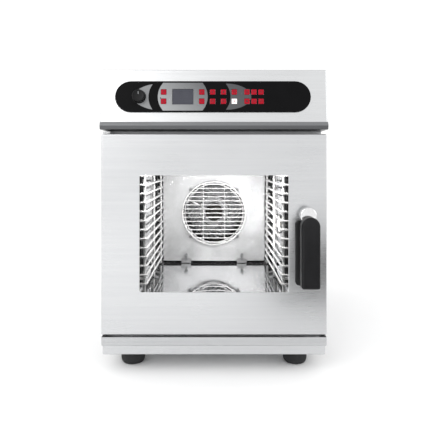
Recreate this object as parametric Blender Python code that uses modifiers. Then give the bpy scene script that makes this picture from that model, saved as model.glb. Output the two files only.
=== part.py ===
"""Compact combi steamer oven, built from its separate pieces.

Frame: origin on the floor under the middle of the outer box, +X to the right of a
person facing the door, +Y from the door to the rear, +Z up. Everything is in metres.
"""

import math

import bmesh
import bpy
from mathutils import Matrix, Vector

# ---- driving dimensions -------------------------------------------------------------
BODY_WIDTH = 0.510
BODY_HEIGHT = 0.690
BODY_DEPTH = 0.800  # door face to rear cover
DOOR_FACE_Y = -0.385  # puts the origin under the middle of the outer box
GAP = 0.0003  # between pieces that touch

SHEET = 0.0012  # casing sheet
LINER_SHEET = 0.0010

FOOT_RADIUS = 0.0285
FOOT_SPREAD = 0.195  # half the distance between left and right feet
FOOT_HEIGHT = 0.0428
FRONT_FOOT_DEPTH = 0.078
REAR_FOOT_DEPTH = 0.730

TRAY_BOTTOM = FOOT_HEIGHT + GAP
TRAY_TOP = 0.0640
GUTTER_TOP = 0.0845
GUTTER_DEPTH = 0.0575

DOOR_BOTTOM = 0.0900
DOOR_TOP = 0.5435
SKIN_RETURN = 0.030  # how far the skin folds back round the door
DOOR_FRAME_BACK = 0.045
WINDOW_HALF_WIDTH = 0.168
WINDOW_BOTTOM = 0.186
WINDOW_TOP = 0.450
GLASS = 0.004
DOOR_LIGHT_HALF_WIDTH = 0.178  # opening in the inner frame
DOOR_LIGHT_BOTTOM = 0.168
DOOR_LIGHT_TOP = 0.468

HINGE_X = -0.246
HINGE_DEPTH = 0.025
HINGE_PIN_RADIUS = 0.004

FRAME_DEPTH = 0.058  # front face of the oven's front frame
FRAME_SHEET = 0.002
MOUTH_HALF_WIDTH = 0.178
MOUTH_BOTTOM = 0.140
MOUTH_TOP = 0.508

CAVITY_HALF_WIDTH = 0.195
CAVITY_FLOOR = 0.138
CAVITY_CEILING = 0.510
CAVITY_BACK = 0.660
FLOOR_DISH = 0.004  # how far the floor falls to its drain
DRAIN_DEPTH = 0.120

LIP_BOTTOM = 0.553
FASCIA_BOTTOM = 0.570
FASCIA_FOOT_DEPTH = -0.0084  # the fascia's lower edge stands in front of the door
FASCIA_HEAD_DEPTH = 0.0047
CASING_DEPTH = 0.0603  # where side panels and top cover begin

FAN_Z = 0.310
FAN_RADIUS = 0.092
BAFFLE_DEPTH = 0.560
BAFFLE_HALF_WIDTH = 0.172
BAFFLE_HOLE_RADIUS = 0.104
GUARD_RADIUS = 0.1066
GUARD_DEPTH = 0.5435
GUARD_PITCH = 0.0140
SHAFT_RADIUS = 0.007
MOTOR_FRONT = 0.664

RACK_FRONT, RACK_REAR = 0.150, 0.548
RUNG_PITCH = 0.0232
RUNG_COUNT = 15
LOWEST_RUNG = 0.1672
RUNG_X = 0.174
POST_X = 0.1795
END_BAR_X = 0.1885
RUNG_RADIUS = 0.003
POST_RADIUS = 0.0035

HANDLE_X = 0.207
HANDLE_Z = 0.362
HUB_RADIUS = 0.0183
LEVER_HALF_WIDTH = 0.0202
LEVER_BOTTOM = 0.2066
LEVER_TOP = 0.3607
LEVER_FRONT = 0.060  # proud of the door face
LEVER_BACK = 0.0353

OVERLAY_LENGTH = 0.4404
OVERLAY_HEIGHT = 0.0712
OVERLAY_CENTRE_X = -0.0024
OVERLAY_CENTRE_Z = 0.6268
OVERLAY_FACE = 0.0023  # above the fascia sheet
KEY_SIZE = 0.0120
KEY_FLANGE = 0.0140
KEY_FACE = 0.0031
KEY_ROW = 0.01065  # each row's distance from the overlay's middle
KNOB_RADIUS = 0.0146
KNOB_U = -0.1664
DISPLAY_U = -0.0677
DISPLAY_HALF = (0.0239, 0.0178)

HALF_WIDTH = BODY_WIDTH / 2
FASCIA_LEAN = math.atan2(FASCIA_HEAD_DEPTH - FASCIA_FOOT_DEPTH, BODY_HEIGHT - FASCIA_BOTTOM)


def at(depth):
    """The Y of a plane that lies this far behind the door face."""
    return DOOR_FACE_Y + depth


# ---- scene, materials and small tools -------------------------------------------------
for old in list(bpy.data.objects):
    bpy.data.objects.remove(old)


def new_collection(name):
    collection = bpy.data.collections.new(name)
    bpy.context.scene.collection.children.link(collection)
    return collection


PARTS = new_collection("combi_steamer_oven")
CUTTERS = new_collection("cutters")


def finish(name, colour, roughness, metallic=0.0):
    """A plain Principled material."""
    material = bpy.data.materials.new(name)
    material.use_nodes = True
    shader = material.node_tree.nodes["Principled BSDF"]
    shader.inputs["Base Color"].default_value = (*colour, 1.0)
    shader.inputs["Roughness"].default_value = roughness
    shader.inputs["Metallic"].default_value = metallic
    return material


STEEL = finish("brushed_stainless", (0.72, 0.72, 0.73), 0.32, 1.0)
DARK_STEEL = finish("shaded_stainless", (0.40, 0.40, 0.41), 0.40, 1.0)
POLISHED = finish("polished_stainless", (0.80, 0.80, 0.81), 0.12, 1.0)
ALUMINIUM = finish("cast_aluminium", (0.60, 0.61, 0.62), 0.45, 1.0)
BRASS = finish("brass", (0.70, 0.52, 0.25), 0.35, 1.0)
BLACK = finish("black_plastic", (0.020, 0.020, 0.022), 0.38)
RUBBER = finish("black_rubber", (0.030, 0.030, 0.032), 0.70)
GLASS_TINT = finish("clear_glass", (0.80, 0.86, 0.86), 0.04)
RED = finish("red_key", (0.52, 0.012, 0.030), 0.35)
PALE = finish("lit_key", (0.85, 0.80, 0.80), 0.35)
BOARD = finish("green_board", (0.03, 0.16, 0.08), 0.50)


def mesh_object(name, bm, material, collection=PARTS):
    mesh = bpy.data.meshes.new(name)
    bm.to_mesh(mesh)
    bm.free()
    obj = bpy.data.objects.new(name, mesh)
    collection.objects.link(obj)
    if material:
        mesh.materials.append(material)
    return obj


def smooth(obj, angle=35):
    """Smooth shading that keeps the edges sharper than the angle, in degrees."""
    obj.data.shade_smooth()
    obj.data.set_sharp_from_angle(angle=math.radians(angle))
    return obj


def block(low, high):
    """A box between two corners."""
    low, high = Vector(low), Vector(high)
    place = Matrix.Translation((low + high) / 2) @ Matrix.Diagonal((*(high - low), 1))
    bm = bmesh.new()
    bmesh.ops.create_cube(bm, size=1, matrix=place)
    return bm


def rod(start, end, radius, sides=16):
    """A round bar from one point to another."""
    start, end = Vector(start), Vector(end)
    turn = (end - start).to_track_quat("Z", "Y").to_matrix().to_4x4()
    bm = bmesh.new()
    bmesh.ops.create_cone(
        bm,
        cap_ends=True,
        segments=sides,
        radius1=radius,
        radius2=radius,
        depth=(end - start).length,
        matrix=Matrix.Translation((start + end) / 2) @ turn,
    )
    return bm


def prism(outline, run):
    """A solid from a flat closed outline carried along a vector."""
    bm = bmesh.new()
    face = bm.faces.new([bm.verts.new(p) for p in outline])
    grown = bmesh.ops.extrude_face_region(bm, geom=[face])["geom"]
    moved = [v for v in grown if isinstance(v, bmesh.types.BMVert)]
    bmesh.ops.translate(bm, verts=moved, vec=run)
    bmesh.ops.recalc_face_normals(bm, faces=bm.faces[:])
    return bm


def together(*bodies):
    """Several separate solids in one bmesh."""
    bm = bmesh.new()
    for body in bodies:
        mesh = bpy.data.meshes.new("scratch")
        body.to_mesh(mesh)
        body.free()
        bm.from_mesh(mesh)
        bpy.data.meshes.remove(mesh)
    return bm


def without_face(bm, direction):
    """Takes away the faces that look along a direction, which leaves an open shell."""
    gone = [f for f in bm.faces if f.normal.dot(Vector(direction)) > 0.99]
    bmesh.ops.delete(bm, geom=gone, context="FACES")
    return bm


def round_edges(bm, radius, segments, wanted):
    """Rounds the edges that a test on their two end points picks."""
    edges = [e for e in bm.edges if wanted(e.verts[0].co, e.verts[1].co)]
    bmesh.ops.bevel(
        bm,
        geom=edges,
        offset=radius,
        offset_type="OFFSET",
        segments=segments,
        profile=0.5,
        affect="EDGES",
    )
    return bm


def thicken(obj, thickness):
    """Gives an open surface its sheet thickness, inwards from its faces."""
    wall = obj.modifiers.new("sheet", "SOLIDIFY")
    wall.thickness = thickness
    wall.offset = -1
    wall.use_even_offset = True
    return obj


def helper_object(name, bm, parent=None):
    obj = mesh_object(name, bm, None, CUTTERS)
    obj.hide_render = True
    obj.display_type = "WIRE"
    obj.parent = parent
    return obj


def boolean(obj, bm, operation, parent=None):
    step = obj.modifiers.new(operation.lower(), "BOOLEAN")
    step.operation = operation
    step.solver = "EXACT"
    step.object = helper_object(f"{obj.name}_{operation.lower()}", bm, parent)
    return obj


def cut(obj, *bodies, parent=None):
    """Cuts solids that don't touch each other out of an object."""
    return boolean(obj, together(*bodies), "DIFFERENCE", parent)


def weld(obj, *bodies, parent=None):
    """Joins solids to an object, one after another, into one body."""
    for body in bodies:
        boolean(obj, body, "UNION", parent)
    return obj


def turned(name, profile, steps, material, centre, faces_front=False):
    """A turned piece: (radius, height) pairs from its top down. A piece that faces the
    front has its top towards the door face."""
    bm = bmesh.new()
    verts = [bm.verts.new((radius, 0, height)) for radius, height in profile]
    for upper, lower in zip(verts, verts[1:]):
        bm.edges.new((upper, lower))
    obj = mesh_object(name, bm, material)
    obj.location = centre
    if faces_front:
        obj.rotation_euler = (math.pi / 2, 0, 0)
    screw = obj.modifiers.new("turn", "SCREW")
    screw.steps = screw.render_steps = steps
    screw.use_merge_vertices = True
    screw.merge_threshold = 0.00001
    screw.use_smooth_shade = True
    return obj


def tube(name, points, radius, material, resolution=1):
    """A bent pipe through a list of points."""
    curve = bpy.data.curves.new(name, "CURVE")
    curve.dimensions = "3D"
    curve.bevel_depth = radius
    curve.bevel_resolution = resolution
    curve.use_fill_caps = True
    spline = curve.splines.new("POLY")
    spline.points.add(len(points) - 1)
    for slot, point in zip(spline.points, points):
        slot.co = (*point, 1)
        slot.radius = 1
    obj = bpy.data.objects.new(name, curve)
    PARTS.objects.link(obj)
    curve.materials.append(material)
    return obj


def bend(start, corner, end, radius, steps=4):
    """Points of a rounded corner, tangent to both runs."""
    start, corner, end = Vector(start), Vector(corner), Vector(end)
    into = (start - corner).normalized()
    out = (end - corner).normalized()
    half = into.angle(out) / 2
    reach = radius / math.tan(half)
    first, last = corner + into * reach, corner + out * reach
    middle = corner + (into + out).normalized() * (radius / math.sin(half))
    spokes = (first - middle).normalized(), (last - middle).normalized()
    return [middle + spokes[0].slerp(spokes[1], i / steps) * radius for i in range(steps + 1)]


def arc(centre, radius, start, end, steps):
    """Points of an arc in a plane, angles in degrees."""
    turn = [math.radians(start + (end - start) * i / steps) for i in range(steps + 1)]
    return [(centre[0] + radius * math.cos(a), centre[1] + radius * math.sin(a)) for a in turn]


def rounded_box(low, high, radius, steps=3):
    """The outline of a rectangle with round corners."""
    (x0, y0), (x1, y1) = low, high
    return (
        arc((x1 - radius, y1 - radius), radius, 0, 90, steps)
        + arc((x0 + radius, y1 - radius), radius, 90, 180, steps)
        + arc((x0 + radius, y0 + radius), radius, 180, 270, steps)
        + arc((x1 - radius, y0 + radius), radius, 270, 360, steps)
    )


def upright(outline, depth):
    """A flat outline of (x, z) pairs stood up at a depth."""
    return [(x, at(depth), z) for x, z in outline]


def upright_prism(outline, front, back):
    return prism(upright(outline, front), (0, back - front, 0))


# ---- base, casing and feet ------------------------------------------------------------
def make_foot(name, x, depth):
    profile = [
        (0, FOOT_HEIGHT),
        (FOOT_RADIUS, FOOT_HEIGHT),
        (FOOT_RADIUS, 0.0100),
        (FOOT_RADIUS - 0.0025, 0.0030),
        (FOOT_RADIUS - 0.0070, 0),
        (0, 0),
    ]
    return turned(name, profile, 20, RUBBER, (x, at(depth), 0))


def make_base_tray():
    """Folded tray that the oven is built on, open at the top."""
    side = HALF_WIDTH - 0.002
    bm = block((-side, at(0.006), TRAY_BOTTOM), (side, at(0.795), TRAY_TOP))
    without_face(bm, (0, 0, 1))
    return thicken(mesh_object("base_tray", bm, STEEL), SHEET)


def make_drip_gutter():
    """Channel under the door that catches what runs off it."""
    low = (-HALF_WIDTH, at(0), TRAY_TOP + GAP)
    bm = block(low, (HALF_WIDTH, at(GUTTER_DEPTH), GUTTER_TOP))
    without_face(bm, (0, 0, 1))
    return thicken(mesh_object("drip_gutter", bm, STEEL), SHEET)


def make_side_panel(name, side):
    """Sheet with a fold at the front that the front frame is screwed to."""
    fold = 0.018
    bottom = TRAY_TOP + GAP
    path = [(HALF_WIDTH - fold, CASING_DEPTH), (HALF_WIDTH, CASING_DEPTH), (HALF_WIDTH, 0.7985)]
    bm = bmesh.new()
    verts = [bm.verts.new((side * x, at(depth), bottom)) for x, depth in path]
    edges = [bm.edges.new(pair) for pair in zip(verts, verts[1:])]
    grown = bmesh.ops.extrude_edge_only(bm, edges=edges)["geom"]
    moved = [v for v in grown if isinstance(v, bmesh.types.BMVert)]
    rise = BODY_HEIGHT - SHEET - GAP - bottom
    bmesh.ops.translate(bm, verts=moved, vec=(0, 0, rise))
    outer = max(bm.faces, key=lambda f: abs(f.calc_center_median().x))
    if outer.normal.x * side < 0:
        bmesh.ops.reverse_faces(bm, faces=bm.faces[:])
    return thicken(mesh_object(name, bm, STEEL), SHEET)


def make_top_cover():
    low = (-HALF_WIDTH, at(CASING_DEPTH), BODY_HEIGHT - SHEET)
    bm = block(low, (HALF_WIDTH, at(BODY_DEPTH), BODY_HEIGHT))
    return mesh_object("top_cover", bm, STEEL)


VENT = (0.130, 0.600)  # x, z of the rear fittings
DRAIN = (-0.130, 0.100)
WATER = (0.150, 0.110)
GLAND = (0.060, 0.110)


def make_rear_cover():
    """Flat sheet with a hole for each fitting and two banks of cooling slots."""
    side = HALF_WIDTH - SHEET - GAP
    front, back = at(BODY_DEPTH - SHEET), at(BODY_DEPTH)
    top = BODY_HEIGHT - SHEET - GAP
    bm = block((-side, front, TRAY_TOP + GAP), (side, back, top))
    obj = mesh_object("rear_cover", bm, STEEL)
    holes = []
    for (x, z), radius in ((VENT, 0.0215), (DRAIN, 0.0185), (WATER, 0.0110), (GLAND, 0.0085)):
        holes.append(rod((x, front - 0.01, z), (x, back + 0.01, z), radius, 20))
    for x in (-0.200, 0.060):
        for row in range(6):
            z = 0.250 + 0.016 * row
            holes.append(block((x, front - 0.01, z), (x + 0.140, back + 0.01, z + 0.006)))
    return cut(obj, *holes)


# ---- control box ----------------------------------------------------------------------
def make_panel_plane():
    """Empty on the fascia's face at the overlay's middle: its X runs right, its Y up the
    slope and its Z straight out of the panel."""
    empty = bpy.data.objects.new("panel_plane", None)
    PARTS.objects.link(empty)
    depth = FASCIA_FOOT_DEPTH + (OVERLAY_CENTRE_Z - FASCIA_BOTTOM) * math.tan(FASCIA_LEAN)
    empty.location = (OVERLAY_CENTRE_X, at(depth), OVERLAY_CENTRE_Z)
    empty.rotation_euler = (math.pi / 2 - FASCIA_LEAN, 0, 0)
    return empty


def on_panel(obj, panel, place=(0, 0, 0)):
    obj.parent = panel
    obj.location = place
    return obj


def make_fascia(panel):
    """Sheet that leans back over the door, with cheeks and a short top."""
    outline = [
        (-HALF_WIDTH, at(FASCIA_FOOT_DEPTH), FASCIA_BOTTOM),
        (-HALF_WIDTH, at(FASCIA_HEAD_DEPTH), BODY_HEIGHT),
        (-HALF_WIDTH, at(CASING_DEPTH - GAP), BODY_HEIGHT),
        (-HALF_WIDTH, at(CASING_DEPTH - GAP), FASCIA_BOTTOM),
    ]
    bm = prism(outline, (BODY_WIDTH, 0, 0))
    without_face(bm, (0, 1, 0))
    without_face(bm, (0, 0, -1))

    def front_fold(a, b):
        return min(a.z, b.z) > BODY_HEIGHT - 0.001 and max(a.y, b.y) < at(0.02)

    def corner_fold(a, b):
        return abs(a.z - b.z) > 0.05 and max(a.y, b.y) < at(0.02)

    round_edges(bm, 0.003, 2, lambda a, b: front_fold(a, b) or corner_fold(a, b))
    obj = thicken(mesh_object("control_fascia", bm, STEEL), SHEET)
    slot = block((-0.124, -0.020, -0.010), (0.122, 0.020, 0.010))
    knob_hole = rod((KNOB_U, 0, -0.010), (KNOB_U, 0, 0.010), 0.0045, 16)
    return cut(obj, slot, knob_hole, parent=panel)


def make_fascia_lip():
    """Folded strip under the fascia, a little wider and further out than the door. Its
    flat part closes the control box from below."""
    side = HALF_WIDTH + 0.0005
    path = [
        (FASCIA_FOOT_DEPTH - 0.0002, FASCIA_BOTTOM - GAP),
        (-0.0130, 0.5625),
        (-0.0110, LIP_BOTTOM),
        (FRAME_DEPTH - GAP, LIP_BOTTOM),
    ]
    bm = bmesh.new()
    verts = [bm.verts.new((-side, at(depth), z)) for depth, z in path]
    edges = [bm.edges.new(pair) for pair in zip(verts, verts[1:])]
    grown = bmesh.ops.extrude_edge_only(bm, edges=edges)["geom"]
    moved = [v for v in grown if isinstance(v, bmesh.types.BMVert)]
    bmesh.ops.translate(bm, verts=moved, vec=(2 * side, 0, 0))
    floor = min(bm.faces, key=lambda f: f.calc_center_median().z)
    if floor.normal.z > 0:
        bmesh.ops.reverse_faces(bm, faces=bm.faces[:])
    return thicken(mesh_object("fascia_lip", bm, DARK_STEEL), SHEET)


def key_places():
    """(name, u, v) of every key on the panel: one column beside the display on its left,
    four columns at a wide pitch on its right, then three at a narrow pitch."""
    columns = [-0.1109]
    columns += [-0.0251 + 0.0244 * i for i in range(4)]
    columns += [0.0765 + 0.01585 * i for i in range(3)]
    for row, v in (("top", KEY_ROW), ("bottom", -KEY_ROW)):
        for number, u in enumerate(columns, 1):
            yield f"key_{row}_{number}", u, v


def make_overlay(panel):
    """Black plate with round ends, open over the display and round each key."""
    end = OVERLAY_HEIGHT / 2
    reach = OVERLAY_LENGTH / 2 - end
    outline = arc((reach, 0), end, -90, 90, 14) + arc((-reach, 0), end, 90, 270, 14)
    back = GAP
    bm = prism([(x, y, back) for x, y in outline], (0, 0, OVERLAY_FACE - back))
    obj = on_panel(mesh_object("control_overlay", bm, BLACK), panel)
    half_key = KEY_SIZE / 2 + GAP
    holes = [
        block((u - half_key, v - half_key, -0.01), (u + half_key, v + half_key, 0.01))
        for _, u, v in key_places()
    ]
    half_u, half_v = DISPLAY_HALF
    low = (DISPLAY_U - half_u, -half_v, -0.01)
    holes.append(block(low, (DISPLAY_U + half_u, half_v, 0.01)))
    holes.append(rod((KNOB_U, 0, -0.01), (KNOB_U, 0, 0.01), 0.0045, 16))
    return cut(obj, *holes, parent=panel)


def make_key(name, u, v, panel):
    """Key with a flange behind the overlay that keeps it in and a cap that stands proud."""
    half = KEY_FLANGE / 2
    bottom, flange_top = -0.0020, -0.0003
    bm = block((-half, -half, bottom), (half, half, flange_top))
    round_edges(bm, 0.0022, 1, lambda a, b: abs(a.z - b.z) > 0.0005)
    top = max(bm.faces, key=lambda f: f.calc_center_median().z)
    inset = (KEY_FLANGE - KEY_SIZE) / 2
    bmesh.ops.inset_region(bm, faces=[top], thickness=inset, use_even_offset=True)
    grown = bmesh.ops.extrude_discrete_faces(bm, faces=[top])["faces"]
    bmesh.ops.translate(bm, verts=grown[0].verts, vec=(0, 0, KEY_FACE - flange_top))
    bmesh.ops.recalc_face_normals(bm, faces=bm.faces[:])
    material = PALE if name == "key_bottom_5" else RED
    return on_panel(mesh_object(name, bm, material), panel, (u, v, 0))


def make_knob(panel):
    """Round knob with a dished rim, turned with its short shaft."""
    profile = [
        (0, 0.0150),
        (KNOB_RADIUS - 0.0030, 0.0150),
        (KNOB_RADIUS - 0.0008, 0.0138),
        (KNOB_RADIUS, 0.0115),
        (KNOB_RADIUS, 0.0028),
        (0.0030, 0.0028),
        (0.0030, -0.0058),
        (0, -0.0058),
    ]
    obj = turned("control_knob", profile, 24, BLACK, (0, 0, 0))
    return on_panel(obj, panel, (KNOB_U, 0, 0))


def make_display_board(panel):
    """Circuit board with the display module and one switch under each key."""
    face, back = -0.0064, -0.0080
    bm = block((-0.185, -0.018, back), (0.118, 0.018, face))
    obj = on_panel(mesh_object("display_board", bm, BOARD), panel)
    half_u, half_v = DISPLAY_HALF
    rim = 0.0010
    module = block(
        (DISPLAY_U - half_u + rim, -half_v + rim, -0.0070),
        (DISPLAY_U + half_u - rim, half_v - rim, 0.0015),
    )
    half = 0.003
    switches = [
        block((u - half, v - half, -0.0070), (u + half, v + half, -0.0032))
        for _, u, v in key_places()
    ]
    return weld(obj, module, together(*switches), parent=panel)


# ---- door -----------------------------------------------------------------------------
def hinge_bore(z_low, z_high):
    """Cutter for a hinge pin's running hole."""
    x, y = HINGE_X, at(HINGE_DEPTH)
    return rod((x, y, z_low), (x, y, z_high), HINGE_PIN_RADIUS + 0.0005, 12)


def spindle_bore(front, back):
    """Cutter for the handle spindle's running hole."""
    return rod((HANDLE_X, at(front), HANDLE_Z), (HANDLE_X, at(back), HANDLE_Z), 0.0065, 16)


def make_door_skin():
    """Brushed sheet folded back on four sides, with the window cut in its face."""
    bm = block((-HALF_WIDTH, at(0), DOOR_BOTTOM), (HALF_WIDTH, at(SKIN_RETURN), DOOR_TOP))
    without_face(bm, (0, 1, 0))
    round_edges(bm, 0.0020, 2, lambda a, b: max(a.y, b.y) < at(0.001))
    obj = thicken(mesh_object("door_skin", bm, STEEL), 0.0010)
    window = rounded_box(
        (-WINDOW_HALF_WIDTH, WINDOW_BOTTOM), (WINDOW_HALF_WIDTH, WINDOW_TOP), 0.003, 2
    )
    return cut(
        obj,
        upright_prism(window, -0.010, 0.010),
        hinge_bore(DOOR_BOTTOM - 0.01, DOOR_BOTTOM + 0.01),
        hinge_bore(DOOR_TOP - 0.01, DOOR_TOP + 0.01),
        spindle_bore(-0.01, 0.01),
    )


def make_door_outer_glass():
    margin = 0.012
    low = (-WINDOW_HALF_WIDTH - margin, at(0.0013), WINDOW_BOTTOM - margin)
    high = (WINDOW_HALF_WIDTH + margin, at(0.0013 + GLASS), WINDOW_TOP + margin)
    return mesh_object("door_outer_glass", block(low, high), GLASS_TINT)


def make_door_inner_frame():
    """Channel that runs round the door behind the glass, open towards the skin."""
    wall = 0.0015
    side = HALF_WIDTH - 0.0013
    bottom, top = DOOR_BOTTOM + 0.0013, DOOR_TOP - 0.0013
    front, back = 0.0056, DOOR_FRAME_BACK
    bm = block((-side, at(front), bottom), (side, at(back), top))
    obj = mesh_object("door_inner_frame", bm, DARK_STEEL)
    light = DOOR_LIGHT_HALF_WIDTH
    cut(obj, block((-light, at(-0.01), DOOR_LIGHT_BOTTOM), (light, at(0.06), DOOR_LIGHT_TOP)))
    ring = helper_object(
        "door_channel",
        block(
            (-side + wall, at(front - 0.01), bottom + wall),
            (side - wall, at(back - wall), top - wall),
        ),
    )
    core = block(
        (-light - wall, at(-0.02), DOOR_LIGHT_BOTTOM - wall),
        (light + wall, at(0.06), DOOR_LIGHT_TOP + wall),
    )
    cut(ring, core)
    step = obj.modifiers.new("channel", "BOOLEAN")
    step.operation = "DIFFERENCE"
    step.object = ring
    return cut(
        obj,
        hinge_bore(bottom - 0.01, bottom + 0.01),
        hinge_bore(top - 0.01, top + 0.01),
        spindle_bore(back - 0.01, back + 0.01),
    )


def make_door_inner_glass():
    low = (-0.192, at(DOOR_FRAME_BACK + GAP), 0.128)
    high = (0.192, at(DOOR_FRAME_BACK + GAP + GLASS), 0.520)
    return mesh_object("door_inner_glass", block(low, high), GLASS_TINT)


def make_hinge_bracket(name, low_z, high_z, pin_to):
    """Plate on the front frame with a pin that the door turns on."""
    left, right = -HALF_WIDTH + 0.0005, HINGE_X + 0.0100
    bm = block((left, at(0.012), low_z), (right, at(FRAME_DEPTH - GAP), high_z))
    round_edges(bm, 0.004, 2, lambda a, b: abs(a.z - b.z) > 0.001 and max(a.y, b.y) < at(0.02))
    obj = mesh_object(name, bm, POLISHED)
    x, y = HINGE_X, at(HINGE_DEPTH)
    middle = (low_z + high_z) / 2
    return weld(obj, rod((x, y, middle), (x, y, pin_to), HINGE_PIN_RADIUS, 12))


# ---- handle and latch -----------------------------------------------------------------
def make_handle_backplate():
    outline = rounded_box((0.1827, 0.2030), (0.2280, 0.3485), 0.008, 3)
    bm = upright_prism(outline, -0.0100, -GAP)
    front = at(-0.0100)
    round_edges(bm, 0.0020, 1, lambda a, b: max(abs(a.y - front), abs(b.y - front)) < 1e-5)
    return smooth(mesh_object("handle_backplate", bm, BLACK))


def make_handle_hub():
    """Steel disc on a neck, which carries the lever in front of the door."""
    profile = [
        (0, 0.0350),
        (HUB_RADIUS - 0.0015, 0.0350),
        (HUB_RADIUS, 0.0335),
        (HUB_RADIUS, 0.0200),
        (0.0110, 0.0200),
        (0.0110, GAP),
        (0, GAP),
    ]
    return turned("handle_hub", profile, 28, POLISHED, (HANDLE_X, at(0), HANDLE_Z), True)


def make_handle_lever():
    """Grip with a round head and small corners below, its edges eased all round."""
    middle = HANDLE_X + 0.0008
    left, right = middle - LEVER_HALF_WIDTH, middle + LEVER_HALF_WIDTH
    corner = 0.005
    head = LEVER_TOP - LEVER_HALF_WIDTH
    outline = arc((middle, head), LEVER_HALF_WIDTH, 0, 180, 12)
    outline += arc((left + corner, LEVER_BOTTOM + corner), corner, 180, 270, 3)
    outline += arc((right - corner, LEVER_BOTTOM + corner), corner, 270, 360, 3)
    bm = upright_prism(outline, -LEVER_FRONT, -LEVER_BACK)
    round_edges(bm, 0.0035, 2, lambda a, b: abs(a.y - b.y) < 1e-5)
    return smooth(mesh_object("handle_lever", bm, BLACK))


def make_latch_spindle():
    """Spindle through the door with the latch arm on its inner end, in one forging."""
    x, z = HANDLE_X, HANDLE_Z
    arm_front, arm_back = 0.0480, 0.0550
    obj = mesh_object(
        "latch_spindle", rod((x, at(0), z), (x, at(arm_back), z), 0.0060, 16), STEEL
    )
    arm = block((x - 0.0075, at(arm_front), z - 0.0070), (x + 0.0280, at(arm_back), z + 0.0070))
    round_edges(arm, 0.0050, 2, lambda a, b: abs(a.y - b.y) > 0.001)
    return smooth(weld(obj, arm))


def make_latch_strike():
    """Keeper on the front frame, beside the latch arm."""
    low = (0.2380, at(0.0480), 0.3450)
    bm = block(low, (0.2480, at(FRAME_DEPTH - GAP), 0.3800))
    round_edges(bm, 0.0020, 2, lambda a, b: max(a.y, b.y) < at(0.050))
    return mesh_object("latch_strike", bm, POLISHED)


# ---- oven -----------------------------------------------------------------------------
def make_front_frame():
    """Sheet round the oven's mouth that the seal and the hinges are fixed to."""
    side = HALF_WIDTH - 0.0005
    low = (-side, at(FRAME_DEPTH), GUTTER_TOP + 0.0005)
    bm = block(low, (side, at(FRAME_DEPTH + FRAME_SHEET), LIP_BOTTOM + 0.010))
    mouth = rounded_box((-MOUTH_HALF_WIDTH, MOUTH_BOTTOM), (MOUTH_HALF_WIDTH, MOUTH_TOP), 0.012)
    return cut(mesh_object("front_frame", bm, STEEL), upright_prism(mouth, 0.04, 0.08))


def make_door_gasket():
    """Soft seal round the mouth, pressed by the inner glass."""
    front = DOOR_FRAME_BACK + GLASS + 2 * GAP
    back = FRAME_DEPTH - GAP
    outer = rounded_box((-0.190, 0.128), (0.190, 0.520), 0.016)
    inner = rounded_box((-0.180, 0.138), (0.180, 0.510), 0.010)
    obj = mesh_object("door_gasket", upright_prism(outer, front, back), RUBBER)
    return cut(obj, upright_prism(inner, 0.04, 0.07))


ELEMENT_RADIUS = 0.118
ELEMENT_WIRE = 0.0043
FIRST_TAIL = (0.134, 40)  # radius from the fan's axis and angle, where the element leaves
LAST_TAIL = (ELEMENT_RADIUS, -20)
INJECTOR = (-0.0884, 0.3552)
LAMP = (0.330, 0.300)  # depth, z on the right wall
NOZZLE_DEPTH = 0.300


def round_the_fan(radius, angle):
    """The x and z of a point at a radius and an angle, in degrees, from the fan's axis."""
    turn = math.radians(angle)
    return radius * math.cos(turn), FAN_Z + radius * math.sin(turn)


def make_cavity_liner():
    """Welded box, open to the front, with a floor that falls to its drain."""
    low = (-CAVITY_HALF_WIDTH, at(0.0603), CAVITY_FLOOR)
    bm = block(low, (CAVITY_HALF_WIDTH, at(CAVITY_BACK), CAVITY_CEILING))
    without_face(bm, (0, -1, 0))
    floor = min(bm.faces, key=lambda f: f.calc_center_median().z)
    middle = bmesh.ops.poke(bm, faces=[floor])["verts"][0]
    middle.co = (0, at(DRAIN_DEPTH), CAVITY_FLOOR - FLOOR_DISH)
    bmesh.ops.recalc_face_normals(bm, faces=bm.faces[:])
    obj = mesh_object("cavity_liner", bm, POLISHED)
    thicken(obj, LINER_SHEET).modifiers["sheet"].offset = 1
    back, behind = at(CAVITY_BACK - 0.01), at(CAVITY_BACK + 0.01)
    holes = [
        rod((0, back, FAN_Z), (0, behind, FAN_Z), 0.0110, 20),
        rod((0, at(DRAIN_DEPTH), 0.12), (0, at(DRAIN_DEPTH), 0.145), 0.0180, 20),
        rod((VENT[0], at(0.600), 0.50), (VENT[0], at(0.600), 0.52), 0.0180, 20),
        rod((0, at(NOZZLE_DEPTH), 0.50), (0, at(NOZZLE_DEPTH), 0.52), 0.0065, 12),
        rod((0.185, at(LAMP[0]), LAMP[1]), (0.205, at(LAMP[0]), LAMP[1]), 0.0230, 20),
        rod((INJECTOR[0], back, INJECTOR[1]), (INJECTOR[0], behind, INJECTOR[1]), 0.0036, 10),
    ]
    for radius, angle in (FIRST_TAIL, LAST_TAIL):
        x, z = round_the_fan(radius, angle)
        holes.append(rod((x, back, z), (x, behind, z), ELEMENT_WIRE + 0.0005, 10))
    return cut(obj, *holes)


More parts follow.
